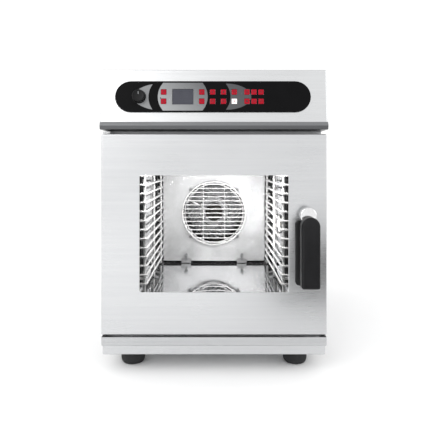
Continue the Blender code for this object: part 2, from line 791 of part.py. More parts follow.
def make_rack(name, side):
    """Ladder of round rungs that the shelves slide on. Each rung turns out to the wall at
    both ends, and they are welded to three posts with hooks."""
    bottom, top = CAVITY_FLOOR + 0.003, LOWEST_RUNG + RUNG_PITCH * (RUNG_COUNT - 1) + 0.010
    posts = [
        rod((side * POST_X, at(d), bottom), (side * POST_X, at(d), top), POST_RADIUS, 6)
        for d in (0.158, 0.350, 0.538)
    ]
    rungs = []
    for number in range(RUNG_COUNT):
        z = LOWEST_RUNG + RUNG_PITCH * number
        rungs.append(
            rod((side * RUNG_X, at(RACK_FRONT), z), (side * RUNG_X, at(RACK_REAR), z), RUNG_RADIUS, 6)
        )
    bars = [
        rod(
            (side * (RUNG_X - RUNG_RADIUS), at(d), z),
            (side * END_BAR_X, at(d), z),
            RUNG_RADIUS,
            6,
        )
        for d in (RACK_FRONT, RACK_REAR)
        for z in [LOWEST_RUNG + RUNG_PITCH * number for number in range(RUNG_COUNT)]
    ]
    hooks = []
    for d in (0.158, 0.538):
        for z in (0.180, 0.460):
            wall = CAVITY_HALF_WIDTH - GAP
            hooks.append(rod((side * POST_X, at(d), z), (side * wall, at(d), z), 0.0040, 6))
    obj = mesh_object(name, together(*rungs), STEEL)
    return smooth(weld(obj, together(*bars), together(*posts), together(*hooks)))


def make_fan_baffle():
    """Sheet across the rear of the oven with the fan's intake hole, folded back at its
    sides and standing on two small feet."""
    bottom, top = 0.146, 0.502
    fold = 0.018
    half = BAFFLE_HALF_WIDTH
    bm = block((-half, at(BAFFLE_DEPTH), bottom), (half, at(BAFFLE_DEPTH + fold), top))
    for direction in ((0, 1, 0), (0, 0, 1), (0, 0, -1)):
        without_face(bm, direction)
    obj = thicken(mesh_object("fan_baffle", bm, STEEL), SHEET)
    cut(obj, rod((0, at(0.55), FAN_Z), (0, at(0.57), FAN_Z), BAFFLE_HOLE_RADIUS, 40))
    feet = [
        block(
            (x - 0.017, at(BAFFLE_DEPTH + 0.0002), CAVITY_FLOOR + GAP),
            (x + 0.017, at(BAFFLE_DEPTH + 0.0080), bottom + 0.006),
        )
        for x in (-0.095, 0.095)
    ]
    return weld(obj, *feet)


def make_fan_guard():
    """Round wire guard on four spacers: two rings, level wires and two upright wires."""
    wires = []
    count = int(GUARD_RADIUS / GUARD_PITCH)
    for number in range(-count, count + 1):
        rise = number * GUARD_PITCH
        half = math.sqrt(GUARD_RADIUS**2 - rise**2)
        z = FAN_Z + rise
        y = at(GUARD_DEPTH)
        wires.append(rod((-half, y, z), (half, y, z), 0.0013, 4))
    uprights = []
    for x in (-0.036, 0.036):
        half = math.sqrt(GUARD_RADIUS**2 - x**2)
        y = at(GUARD_DEPTH + 0.0016)
        uprights.append(rod((x, y, FAN_Z - half), (x, y, FAN_Z + half), 0.0015, 4))
    spacers = []
    for x in (-0.0765, 0.0765):
        for z in (-0.0765, 0.0765):
            front, back = at(GUARD_DEPTH - 0.003), at(BAFFLE_DEPTH - GAP)
            spacers.append(rod((x, front, FAN_Z + z), (x, back, FAN_Z + z), 0.0050, 8))
    outer, inner, half_wire = GUARD_RADIUS + 0.0025, GUARD_RADIUS - 0.0025, 0.0025
    profile = [(inner, half_wire), (outer, half_wire), (outer, -half_wire), (inner, -half_wire)]
    centre = (0, at(GUARD_DEPTH), FAN_Z)
    obj = turned("fan_guard", [*profile, profile[0]], 32, POLISHED, centre, True)
    return weld(obj, together(*wires), together(*uprights), together(*spacers))


def make_fan_wheel():
    """Radial wheel: back plate with hub and nose nut, flat blades and the motor shaft."""
    front = 0.575
    plate = 0.640

    def forward(depth):
        return plate - depth

    profile = [
        (0, forward(0.5610)),
        (0.0110, forward(0.5610)),
        (0.0110, forward(front)),
        (0.0300, forward(front)),
        (0.0300, forward(plate - 0.004)),
        (FAN_RADIUS, forward(plate - 0.002)),
        (FAN_RADIUS, forward(plate)),
        (SHAFT_RADIUS, forward(plate)),
        (SHAFT_RADIUS, forward(0.690)),
        (0, forward(0.690)),
    ]
    obj = turned("fan_wheel", profile, 28, STEEL, (0, at(plate), FAN_Z), True)
    blades = []
    for number in range(16):
        blade = block((0.0560, -0.0008, 0.0010), (0.0905, 0.0008, forward(front)))
        tilt = Matrix.Rotation(math.radians(24), 4, "Z")
        shift = Matrix.Translation((0.056, 0, 0))
        bmesh.ops.transform(blade, matrix=shift @ tilt @ shift.inverted(), verts=blade.verts[:])
        turn = Matrix.Rotation(math.tau * number / 16, 4, "Z")
        bmesh.ops.transform(blade, matrix=turn, verts=blade.verts[:])
        blades.append(blade)
    wheel = Matrix.Translation(obj.location) @ Matrix.Rotation(math.pi / 2, 4, "X")
    whole = together(*blades)
    bmesh.ops.transform(whole, matrix=wheel, verts=whole.verts[:])
    return weld(obj, whole)


def make_fan_motor():
    """Motor on a flange behind the oven, with a bore for the wheel's shaft."""
    bore = SHAFT_RADIUS + 0.0005
    length = 0.092
    profile = [
        (0, 0.050),
        (bore, 0.050),
        (bore, length),
        (0.0700, length),
        (0.0700, length - 0.004),
        (0.0540, length - 0.004),
        (0.0540, 0.010),
        (0.0480, 0),
        (0, 0),
    ]
    centre = (0, at(MOTOR_FRONT + length), FAN_Z)
    return turned("fan_motor", profile, 24, ALUMINIUM, centre, True)


def make_heating_element():
    """Two loops of round element round the fan, with two tails through the rear wall."""
    first, last, rear = 0.590, 0.622, 0.672
    start, end = FIRST_TAIL[1] + 20, LAST_TAIL[1] + 2 * 360
    steps = 38
    tail_x, tail_z = round_the_fan(*FIRST_TAIL)
    points = [(tail_x, at(rear), tail_z), (tail_x, at(first + 0.006), tail_z)]
    for step in range(steps + 1):
        x, z = round_the_fan(ELEMENT_RADIUS, start + (end - start) * step / steps)
        points.append((x, at(first + (last - first) * step / steps), z))
    points[-1] = (points[-1][0], at(last + 0.002), points[-1][2])
    points.append((points[-1][0], at(rear), points[-1][2]))
    return tube("heating_element", points, ELEMENT_WIRE, DARK_STEEL)


def make_steam_injector():
    """Thin pipe that comes through the rear wall beside the fan and turns in to its hub."""
    x, z = INJECTOR
    nose = (-0.0268, at(0.5610), 0.3237)
    corner = (x, at(0.5640), z)
    rear = (x, at(0.672), z)
    points = [rear, *bend(rear, corner, nose, 0.010), nose]
    return tube("steam_injector", points, 0.0030, POLISHED)


def make_wash_nozzle_mount():
    """Washer, nut and neck under the oven's ceiling."""
    top = CAVITY_CEILING - GAP
    profile = [
        (0, top),
        (0.0220, top),
        (0.0220, top - 0.003),
        (0.0130, top - 0.004),
        (0.0130, top - 0.013),
        (0.0075, top - 0.014),
        (0.0075, top - 0.021),
        (0, top - 0.021),
    ]
    return turned("wash_nozzle_mount", profile, 18, POLISHED, (0, at(NOZZLE_DEPTH), 0))


def make_wash_spray_head():
    """Egg-shaped head that the washing water turns."""
    top = CAVITY_CEILING - GAP - 0.021 - GAP
    bottom = 0.450
    middle, half = (top + bottom) / 2, (top - bottom) / 2
    profile = [(0, top)]
    for step in range(1, 8):
        angle = math.pi * step / 8
        swell = 1 + 0.12 * math.cos(angle + 0.4)
        profile.append((0.0150 * math.sin(angle) * swell, middle + half * math.cos(angle)))
    profile.append((0, bottom))
    return turned("wash_spray_head", profile, 20, POLISHED, (0, at(NOZZLE_DEPTH), 0))


def make_cavity_lamp():
    """Round lamp with its glass inside the oven and its holder in the insulation."""
    profile = [
        (0, 0.0060),
        (0.0220, 0.0060),
        (0.0280, 0.0035),
        (0.0280, GAP),
        (0.0225, GAP),
        (0.0225, -0.0300),
        (0, -0.0300),
    ]
    place = (CAVITY_HALF_WIDTH, at(LAMP[0]), LAMP[1])
    obj = turned("cavity_lamp", profile, 24, GLASS_TINT, place)
    obj.rotation_euler = (0, -math.pi / 2, 0)
    return obj


# ---- rear fittings --------------------------------------------------------------------
def make_vent_pipe():
    x, z = VENT
    start = (x, at(0.600), CAVITY_CEILING + LINER_SHEET + GAP)
    corner = (x, at(0.600), z)
    end = (x, at(0.830), z)
    return tube("vent_pipe", [start, *bend(start, corner, end, 0.035), end], 0.020, STEEL, 3)


def make_drain_pipe():
    x, z = DRAIN
    start = (0, at(DRAIN_DEPTH), CAVITY_FLOOR - FLOOR_DISH - LINER_SHEET - 0.0010)
    corner = (0, at(DRAIN_DEPTH), z)
    side = (x, at(0.600), z)
    end = (x, at(0.830), z)
    points = [start, *bend(start, corner, side, 0.024), *bend(corner, side, end, 0.040), end]
    return tube("drain_pipe", points, 0.017, BLACK, 2)


def make_water_inlet():
    """Threaded brass stub with a hexagon-sized collar on the rear cover."""
    profile = [
        (0, 0.0300),
        (0.0095, 0.0300),
        (0.0115, 0.0285),
        (0.0115, 0.0060),
        (0.0160, 0.0060),
        (0.0160, GAP),
        (0.0100, GAP),
        (0.0100, -0.0150),
        (0, -0.0150),
    ]
    x, z = WATER
    obj = turned("water_inlet", profile, 20, BRASS, (x, at(BODY_DEPTH), z))
    obj.rotation_euler = (-math.pi / 2, 0, 0)
    return obj


def make_cable_gland():
    """Gland with a dome nut and a blind mouth for the supply cable."""
    profile = [
        (0, 0.0160),
        (0.0040, 0.0160),
        (0.0040, 0.0220),
        (0.0080, 0.0220),
        (0.0120, 0.0160),
        (0.0120, GAP),
        (0.0080, GAP),
        (0.0080, -0.0150),
        (0, -0.0150),
    ]
    x, z = GLAND
    obj = turned("cable_gland", profile, 18, BLACK, (x, at(BODY_DEPTH), z))
    obj.rotation_euler = (-math.pi / 2, 0, 0)
    return obj


# ---- assembly -------------------------------------------------------------------------
for row, foot_depth in (("front", FRONT_FOOT_DEPTH), ("rear", REAR_FOOT_DEPTH)):
    make_foot(f"foot_{row}_left", -FOOT_SPREAD, foot_depth)
    make_foot(f"foot_{row}_right", FOOT_SPREAD, foot_depth)
make_base_tray()
make_drip_gutter()
make_side_panel("left_side_panel", -1)
make_side_panel("right_side_panel", 1)
make_top_cover()
make_rear_cover()

panel_plane = make_panel_plane()
make_fascia(panel_plane)
make_fascia_lip()
make_overlay(panel_plane)
for key_name, key_u, key_v in key_places():
    make_key(key_name, key_u, key_v, panel_plane)
make_knob(panel_plane)
make_display_board(panel_plane)

make_door_skin()
make_door_outer_glass()
make_door_inner_frame()
make_door_inner_glass()
make_hinge_bracket("hinge_bracket_top", 0.5450, 0.5500, DOOR_TOP - 0.0120)
make_hinge_bracket("hinge_bracket_bottom", 0.0855, 0.0892, DOOR_BOTTOM + 0.0120)
make_handle_backplate()
make_handle_hub()
make_handle_lever()
make_latch_spindle()
make_latch_strike()

make_front_frame()
make_door_gasket()
make_cavity_liner()
make_rack("left_rack", -1)
make_rack("right_rack", 1)
make_fan_baffle()
make_fan_guard()
make_fan_wheel()
make_fan_motor()
make_heating_element()
make_steam_injector()
make_wash_nozzle_mount()
make_wash_spray_head()
make_cavity_lamp()

make_vent_pipe()
make_drain_pipe()
make_water_inlet()
make_cable_gland()
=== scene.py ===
"""The looks of a compact combi steamer oven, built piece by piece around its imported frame."""

import math

import bmesh
import bpy
import numpy as np
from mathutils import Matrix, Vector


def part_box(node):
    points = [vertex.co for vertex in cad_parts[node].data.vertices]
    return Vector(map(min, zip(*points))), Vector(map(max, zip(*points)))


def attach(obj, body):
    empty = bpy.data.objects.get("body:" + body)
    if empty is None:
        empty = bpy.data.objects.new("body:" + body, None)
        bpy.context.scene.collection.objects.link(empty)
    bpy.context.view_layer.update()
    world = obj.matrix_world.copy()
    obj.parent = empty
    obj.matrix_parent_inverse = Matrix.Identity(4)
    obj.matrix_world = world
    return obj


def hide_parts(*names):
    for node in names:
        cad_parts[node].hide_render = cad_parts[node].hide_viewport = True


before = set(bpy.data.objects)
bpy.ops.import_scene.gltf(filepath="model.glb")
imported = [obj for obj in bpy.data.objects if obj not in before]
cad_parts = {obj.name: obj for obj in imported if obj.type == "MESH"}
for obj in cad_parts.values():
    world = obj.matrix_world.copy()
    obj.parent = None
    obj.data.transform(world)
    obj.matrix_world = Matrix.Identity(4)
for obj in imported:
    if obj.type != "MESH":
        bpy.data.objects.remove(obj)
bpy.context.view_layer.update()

# ---- feet -----------------------------------------------------------------------------
# Four round feet moulded in black EPDM rubber. Each has a ribbed grip for turning it on
# its stud, and is screwed up under a corner of the base tray.


def tone(code):
    """A colour given in sRGB hex, turned linear channel by channel."""
    share = np.array([int(code[i : i + 2], 16) for i in (1, 3, 5)]) / 255
    low, high = share / 12.92, ((share + 0.055) / 1.055) ** 2.4
    return (*np.where(share <= 0.04045, low, high).tolist(), 1.0)


def repeats(millimetres):
    """How many times a pattern of this size goes into a metre."""
    return 1000 / millimetres


def add(tree, kind, inputs, **settings):
    """A node of a kind. Its settings are its own properties, and an input is either a
    value or the output that is linked to it."""
    node = tree.nodes.new(kind)
    for key, value in settings.items():
        setattr(node, key, value)
    for key, value in inputs.items():
        if isinstance(value, bpy.types.NodeSocket):
            tree.links.new(value, node.inputs[key])
        else:
            node.inputs[key].default_value = value
    return node


def new_finish(name, constants):
    """A material with its constants on its shader's own sockets, and its node tree."""
    material = bpy.data.materials.new(name)
    material.use_nodes = True
    for key, value in constants.items():
        material.node_tree.nodes["Principled BSDF"].inputs[key].default_value = value
    return material, material.node_tree


def coated(material, tones, rough, pattern, gloss=None, span=(0, 1), dents=None, relief=None):
    """A material with its patterns joined to its shader. The pattern blends two tones. The
    gloss, or else the pattern, sets the roughness between two values over its span. The
    dents, or else the pattern, stand out with a relief of (strength, depth in metres)."""
    tree = material.node_tree
    shader = tree.nodes["Principled BSDF"]
    blend = {0: pattern, 6: tone(tones[0]), 7: tone(tones[1])}
    colour = add(tree, "ShaderNodeMix", blend, data_type="RGBA")
    tree.links.new(colour.outputs[2], shader.inputs["Base Color"])
    limits = {"From Min": span[0], "From Max": span[1], "To Min": rough[0], "To Max": rough[1]}
    blur = add(tree, "ShaderNodeMapRange", {"Value": gloss or pattern, **limits})
    tree.links.new(blur.outputs["Result"], shader.inputs["Roughness"])
    if relief:
        pressed = {"Height": dents or pattern, "Strength": relief[0], "Distance": relief[1]}
        bump = add(tree, "ShaderNodeBump", pressed)
        tree.links.new(bump.outputs["Normal"], shader.inputs["Normal"])
    return material


def mottled(name, constants, tones, rough, millimetres, detail=2.0, relief=None):
    """A finish with one cloudy pattern of this size, in its colour, its gloss and, where it
    has relief, its dents."""
    material, tree = new_finish(name, constants)
    where = add(tree, "ShaderNodeTexCoord", {}).outputs["Object"]
    cloud = {"Vector": where, "Scale": repeats(millimetres), "Detail": detail}
    pattern = add(tree, "ShaderNodeTexNoise", cloud).outputs["Fac"]
    return coated(material, tones, rough, pattern, relief=relief)


def facing(origin, out, up=(0, 0, 1)):
    """Where a piece stands: its origin, and its own right, up and out as unit rows."""
    out = np.array(out, float) / np.linalg.norm(out)
    right = np.cross(up, out)
    right /= np.linalg.norm(right)
    return np.array(origin, float), np.array([right, np.cross(out, right), out])


def placed(points, place):
    """Origin + x right + y up + z out, for every point."""
    origin, directions = place
    return origin + np.asarray(points) @ directions


def skin(grid, round_trip=False):
    """Faces over rows of closed rings: each ring joins the next, the last joins the first
    on a round trip, and otherwise one face closes each end. Points and faces."""
    rows, count = grid.shape[:2]
    index = np.arange(rows * count).reshape(rows, count)
    here, there = index[:-1], index[1:]
    if round_trip:
        here, there = index, np.roll(index, -1, axis=0)
    quads = np.stack([here, np.roll(here, -1, 1), np.roll(there, -1, 1), there], axis=-1)
    faces = quads.reshape(-1, 4).tolist()
    if not round_trip:
        faces += [index[0].tolist(), index[-1].tolist()]
    return grid.reshape(-1, 3), faces


def turned(profile, place, steps=48, round_trip=False):
    """A ring (radius cos a, radius sin a, height) at each (radius, height) of a profile,
    which runs from pole to pole, or back to its start on a round trip."""
    radius, height = np.asarray(profile, float).T[..., None]
    angle = np.linspace(0, 2 * np.pi, steps, endpoint=False)
    across, along = radius * np.cos(angle), radius * np.sin(angle)
    rings = np.stack(np.broadcast_arrays(across, along, height), axis=-1)
    return skin(placed(rings, place), round_trip)


def piece(name, shells, finish, body, stands_for=(), sharp=32):
    """One mesh from shells of points and faces: doubles merged, normals outwards, smooth
    up to the sharp angle, riding on its body in place of the frame's nodes."""
    starts = np.cumsum([0] + [len(points) for points, _ in shells])
    faces = [
        [start + corner for corner in face]
        for start, (_, shell_faces) in zip(starts.tolist(), shells)
        for face in shell_faces
    ]
    mesh = bpy.data.meshes.new(name)
    mesh.from_pydata(np.concatenate([points for points, _ in shells]).tolist(), [], faces)
    work = bmesh.new()
    work.from_mesh(mesh)
    bmesh.ops.remove_doubles(work, verts=work.verts[:], dist=1e-6)
    bmesh.ops.dissolve_degenerate(work, edges=work.edges[:], dist=1e-6)
    bmesh.ops.recalc_face_normals(work, faces=work.faces[:])
    work.to_mesh(mesh)
    work.free()
    mesh.materials.append(finish)
    mesh.shade_smooth()
    mesh.set_sharp_from_angle(angle=math.radians(sharp))
    obj = bpy.data.objects.new(name, mesh)
    bpy.context.scene.collection.objects.link(obj)
    flat_faces = obj.modifiers.new("even_shading", "WEIGHTED_NORMAL")
    flat_faces.keep_sharp = True
    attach(obj, body)
    if stands_for:
        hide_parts(*stands_for)
    return obj


def moulded_rubber(name, unmarked, dusted):
    """EPDM or silicone rubber from a mould: dull, nearly black, greyed by dust in soft
    patches, with a fine pebble from the tool."""
    material, tree = new_finish(name, {"Specular IOR Level": 0.2, "IOR": 1.52})
    where = add(tree, "ShaderNodeTexCoord", {}).outputs["Object"]
    dust = add(tree, "ShaderNodeTexNoise", {"Vector": where, "Scale": repeats(18), "Detail": 5.0})
    pebble = add(tree, "ShaderNodeTexNoise", {"Vector": where, "Scale": repeats(1.2)})
    return coated(
        material, (unmarked, dusted), (0.55, 0.80), dust.outputs["Fac"],
        dents=pebble.outputs["Fac"], relief=(0.25, 0.0003),
    )


RUBBER = moulded_rubber("moulded_epdm_rubber", "#1d1d1f", "#3a3a3b")
FOOT_RADIUS = 0.0285
FOOT_TOP = 0.0428
GRIP_RIBS = 36


def foot(name):
    """A foot turned from its (radius, height) profile, standing under the middle of its box."""
    low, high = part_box(name)
    profile = np.array(
        [
            (0, FOOT_TOP), (0.0262, FOOT_TOP), (0.0275, 0.0422), (FOOT_RADIUS, 0.0408),
            (FOOT_RADIUS, 0.0352), (0.0270, 0.0340), (0.0266, 0.0330), (0.0270, 0.0320),
            (FOOT_RADIUS, 0.0308), (FOOT_RADIUS, 0.0120), (0.0278, 0.0080), (0.0262, 0.0040),
            (0.0240, 0.0014), (0.0210, 0.0000), (0, 0.0000),
        ]
    )
    centre = ((low.x + high.x) / 2, (low.y + high.y) / 2, 0)
    points, faces = turned(profile, facing(centre, (0, 0, 1), (0, 1, 0)), 4 * GRIP_RIBS)
    # Each rib is one wave of a cosine round the grip, cut inwards, and fades at its ends.
    spoke = points[:, :2] - centre[:2]
    angle = np.arctan2(spoke[:, 1], spoke[:, 0])
    on_grip = (points[:, 2] > 0.0119) & (points[:, 2] < 0.0309)
    depth = 0.012 * (1 - np.cos(GRIP_RIBS * angle)) * on_grip
    points[:, :2] = centre[:2] + spoke * (1 - depth)[:, None]
    piece(name + "_rubber", [(points, faces)], RUBBER, "oven_body", [name])


for side in ("left", "right"):
    for row in ("front", "rear"):
        foot(f"foot_{row}_{side}")

# ---- base tray ------------------------------------------------------------------------
# The chassis that everything stands on: 1.2 mm brushed stainless sheet folded up on four
# sides. Its front fold is the strip between the feet.


def brushed_stainless(name, grain, dark="#c3c4c6", light="#cecfd0", rough=(0.24, 0.36)):
    """Stainless sheet brushed with a belt. The belt leaves parallel scratches along
    `grain`, which blur what the sheet mirrors. Real scratches are 0.1 mm wide and too fine
    to show, so they are drawn at 0.8 mm, with fainter bands of 6 mm where the belt
    pressed unevenly."""
    material, tree = new_finish(name, {"Metallic": 1.0})
    where = add(tree, "ShaderNodeTexCoord", {}).outputs["Object"]
    stretch = [0.012 if axis == grain else 1.0 for axis in "XYZ"]
    along = add(tree, "ShaderNodeMapping", {"Vector": where, "Scale": stretch}).outputs["Vector"]
    scratch = add(
        tree,
        "ShaderNodeTexNoise",
        {"Vector": along, "Scale": repeats(0.8), "Detail": 3.0, "Roughness": 0.7},
    )
    band = add(tree, "ShaderNodeTexNoise", {"Vector": along, "Scale": repeats(6), "Detail": 2.0})
    cloud = add(tree, "ShaderNodeTexNoise", {"Vector": where, "Scale": repeats(140)})
    both = add(
        tree, "ShaderNodeMath", {0: scratch.outputs["Fac"], 1: band.outputs["Fac"]},
        operation="MULTIPLY",
    )
    share = add(
        tree, "ShaderNodeMapRange", {"Value": both.outputs[0], "From Min": 0.05, "From Max": 0.45}
    )
    wear = add(
        tree, "ShaderNodeMath", {0: scratch.outputs["Fac"], 1: cloud.outputs["Fac"]},
        operation="MULTIPLY",
    )
    return coated(
        material, (dark, light), rough, share.outputs["Result"], gloss=wear.outputs[0],
        span=(0.12, 0.40), dents=scratch.outputs["Fac"], relief=(0.06, 0.00006),
    )


def corners(low, high, radius, steps=6):
    """A rectangle with round corners: each corner is a quarter turn of
    centre + radius (cos, sin). The radius may change from ring to ring."""
    low, high = np.asarray(low, float), np.asarray(high, float)
    radius = np.asarray(radius, float)[..., None, None]
    signs = np.array([(1, 1), (0, 1), (0, 0), (1, 0)])
    inward = 1 - 2 * signs
    middle = np.where(signs, high[..., None, :], low[..., None, :]) + inward * radius
    angle = np.add.outer(np.arange(4) * np.pi / 2, np.linspace(0, np.pi / 2, steps + 1))
    arcs = radius[..., None] * np.stack([np.cos(angle), np.sin(angle)], -1)
    points = middle[..., None, :] + arcs
    return points.reshape(*points.shape[:-3], -1, 2)


def stacked(low, high, radius, levels, place, steps=6, least=0.0002):
    """Rings for a rounded rectangle: each level is (inset, height), and its ring is the
    rectangle drawn in by that inset, with its corner radius as much smaller."""
    inset, height = np.asarray(levels, float).T
    rings = corners(
        np.asarray(low) + inset[:, None], np.asarray(high) - inset[:, None],
        np.maximum(radius - inset, least), steps,
    )
    heights = np.broadcast_to(height[:, None, None], (*rings.shape[:2], 1))
    return placed(np.concatenate([rings, heights], axis=-1), place)


def quarter(inset, height, radius, start, end, steps=4):
    """Levels of a fold or an eased edge: an arc between two angles, in degrees."""
    turn = np.radians(np.linspace(start, end, steps + 1))
    return np.stack([inset + radius * np.cos(turn), height + radius * np.sin(turn)], -1)


def tray_levels(rise, sheet, fold):
    """A tray from its inner floor, over its rim and round its outer fold."""
    return np.concatenate(
        [
            [(fold + sheet, sheet)], quarter(fold, fold, fold - sheet, 270, 180),
            [(sheet, rise - 0.0003), (sheet - 0.0003, rise), (0.0003, rise), (0, rise - 0.0003)],
            quarter(fold, fold, fold, 180, 270),
        ]
    )


SHEET = 0.0012
low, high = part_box("base_tray")
upward = facing((0, 0, low.z), (0, 0, 1), (0, 1, 0))
tray = stacked(low[:2], high[:2], 0.003, tray_levels(high.z - low.z, SHEET, 0.0022), upward)
CASING_STEEL = brushed_stainless("belt_brushed_stainless", "X")
piece(
    "base_tray_sheet", [skin(tray)], CASING_STEEL, "oven_body", ["base_tray"],
)

# ---- drip gutter ----------------------------------------------------------------------
# A folded stainless channel under the door that catches condensate, with a spout hole
# hidden at its rear. It is hooked on the base tray.

low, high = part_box("drip_gutter")
upward = facing((0, 0, low.z), (0, 0, 1), (0, 1, 0))
gutter = stacked(low[:2], high[:2], 0.003, tray_levels(high.z - low.z, SHEET, 0.0026), upward)
GUTTER_STEEL = brushed_stainless("belt_brushed_gutter_stainless", "X", "#b6b7b9", "#c3c4c5")
piece(
    "drip_gutter_sheet", [skin(gutter)], GUTTER_STEEL, "oven_body", ["drip_gutter"],
)

# ---- side panels ----------------------------------------------------------------------
# Two stainless sheets brushed upright, each folded in at the front, where it is screwed
# to the front frame, and held by countersunk screws along its rear and lower edges.


def rounded(points, radii, steps=5):
    """A path with each inner corner turned into an arc that touches both of its runs: the
    arc's centre is on the corner's half angle, and its spokes are blended round it."""
    points = np.asarray(points, float)
    radii = np.broadcast_to(radii, len(points) - 2)[:, None, None]
    corner = points[1:-1, None]
    before, after = points[:-2, None] - corner, points[2:, None] - corner
    before /= np.linalg.norm(before, axis=-1, keepdims=True)
    after /= np.linalg.norm(after, axis=-1, keepdims=True)
    cosine = (before * after).sum(-1, keepdims=True)
    half = np.arccos(np.clip(cosine, -0.999999, 0.999999)) / 2
    inward = (before + after) / np.linalg.norm(before + after, axis=-1, keepdims=True)
    centre = corner + inward * radii / np.sin(half)
    first = corner + before * radii / np.tan(half) - centre
    last = corner + after * radii / np.tan(half) - centre
    sweep = np.pi - 2 * half
    share = np.linspace(0, 1, steps + 1)[:, None]
    spokes = np.sin((1 - share) * sweep) * first + np.sin(share * sweep) * last
    arcs = (centre + spokes / np.sin(sweep)).reshape(-1, points.shape[1])
    return np.concatenate([points[:1], arcs, points[-1:]])


def folded(path, radii, thickness, steps=5):
    """The cut edge of a folded sheet: its middle line, offset half the thickness to either
    side along the line's own normals, and closed at both ends."""
    line = rounded(path, radii, steps)
    run = np.gradient(line, axis=0)
    run /= np.linalg.norm(run, axis=1, keepdims=True)
    side = run[:, ::-1] * (1, -1) * thickness / 2
    return np.concatenate([line + side, (line - side)[::-1]])


def carried(outline, start, end, place):
    """A flat closed outline carried straight along `out` between two heights."""
    ends = [np.column_stack([outline, np.full(len(outline), height)]) for height in (start, end)]
    return skin(placed(ends, place))


PANEL_FOLD = 0.018
PANEL_STEEL = brushed_stainless("upright_brushed_stainless", "Z")


def cross_head_screws(
    name, spots, out, radius, rise, finish, body="oven_body"
):
    """Low domed heads: the height falls as the square of the radius. Four dents at right
    angles make the driver's cross."""
    share = np.array([0, 0.2, 0.4, 0.55, 0.75, 0.9, 1.0, 1.0])
    height = rise * (1 - 0.7 * share**2)
    height[-1] = -rise
    shells = []
    for spot in spots:
        place = facing(spot, out, (0, 0, 1) if abs(out[2]) < 0.5 else (0, 1, 0))
        points, faces = turned(np.stack([radius * share, height], -1), place, 24)
        local = (points - place[0]) @ place[1].T
        narrow = np.minimum(abs(local[:, 0]), abs(local[:, 1])) < 0.14 * radius
        inside = np.hypot(local[:, 0], local[:, 1]) < 0.6 * radius
        sunk = 0.6 * rise * (narrow & inside)
        shells.append((points - sunk[:, None] * place[1][2], faces))
    return piece(name, shells, finish, body)


# Cold-headed stainless screws and turned fittings: bright, with the faint uneven bloom
# of 2.5 mm that tumbling in a barrel leaves.
HARDWARE = mottled(
    "tumbled_stainless_hardware", {"Metallic": 1.0}, ("#a9aaac", "#d8d8d8"), (0.14, 0.34), 2.5,
    detail=4.0, relief=(0.08, 0.0001),
)

for side, name in ((-1, "left_side_panel"), (1, "right_side_panel")):
    low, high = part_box(name)
    outer = max(abs(low.x), abs(high.x)) - SHEET / 2
    front, back = low.y + SHEET / 2, high.y
    path = [(side * (outer - PANEL_FOLD), front), (side * outer, front), (side * outer, back)]
    upward = facing((0, 0, 0), (0, 0, 1), (0, 1, 0))
    outline = folded(path, 0.0018, SHEET)
    panel = carried(outline, low.z, high.z, upward)
    piece(name + "_sheet", [panel], PANEL_STEEL, "oven_body", [name])
    face = side * (outer + SHEET / 2)
    spots = [(face, back - 0.012, z) for z in np.linspace(low.z + 0.03, high.z - 0.03, 5)]
    spots += [(face, y, low.z + 0.012) for y in np.linspace(front + 0.06, back - 0.14, 4)]
    cross_head_screws(name + "_screws", spots, (side, 0, 0), 0.0034, 0.0004, HARDWARE)

# ---- top cover ------------------------------------------------------------------------
# A flat stainless sheet over the casing, eased at its edges and screwed down along both
# sides. It starts behind the control fascia.


def eased_plate(thickness, ease):
    """Levels of a plate from its back face round its eased edges to its front face."""
    return np.concatenate(
        [
            [(ease + 0.001, 0)], quarter(ease, ease, ease, 270, 180),
            quarter(ease, thickness - ease, ease, 180, 90), [(ease + 0.001, thickness)],
        ]
    )


low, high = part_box("top_cover")
upward = facing((0, 0, low.z), (0, 0, 1), (0, 1, 0))
cover = stacked(low[:2], high[:2], 0.002, eased_plate(high.z - low.z, 0.0005), upward)
TOP_STEEL = brushed_stainless("belt_brushed_top_stainless", "Y")
piece(
    "top_cover_sheet", [skin(cover)], TOP_STEEL, "oven_body", ["top_cover"]
)

# ---- rear cover -----------------------------------------------------------------------
# The rear sheet keeps its holes and cooling slots. Pan-head screws hold it all round.


def finished(names, finish):
    """Gives the frame's own pieces a finish, and leaves their meshes as they are."""
    for name in names:
        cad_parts[name].data.materials.clear()
        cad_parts[name].data.materials.append(finish)


finished(["rear_cover"], CASING_STEEL)
low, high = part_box("rear_cover")
border = 0.012
across = np.linspace(low.x + border, high.x - border, 4)
upright = np.linspace(low.z + border, high.z - border, 5)
spots = [(x, high.y, z) for x in across for z in (low.z + border, high.z - border)]
spots += [(x, high.y, z) for x in (low.x + border, high.x - border) for z in upright[1:-1]]
cross_head_screws("rear_cover_screws", spots, (0, 1, 0), 0.0042, 0.0018, HARDWARE)

# ---- control fascia -------------------------------------------------------------------
# Brushed stainless sheet in front of the control box. It leans back over the door, and
# its two upright edges and its top edge are folded to a 3 mm radius and ground smooth.

FASCIA_LEAN = math.atan2(0.0131, 0.120)
FASCIA_FOLD = 0.003


def walled(outer, inner):
    """A closed wall from two open grids of the same shape: both faces, and strips that
    join them along all four borders."""
    rows, count = outer.shape[:2]
    index = np.arange(rows * count).reshape(rows, count)
    quads = np.stack([index[:-1, :-1], index[:-1, 1:], index[1:, 1:], index[1:, :-1]], -1)
    quads = quads.reshape(-1, 4)
    rim = np.concatenate([index[0], index[1:, -1], index[-1, -2::-1], index[-2:0:-1, 0]])
    after = np.roll(rim, -1)
    size = rows * count
    strips = np.stack([rim, after, after + size, rim + size], -1)
    faces = np.concatenate([quads, quads[:, ::-1] + size, strips]).tolist()
    return np.concatenate([outer.reshape(-1, 3), inner.reshape(-1, 3)]), faces


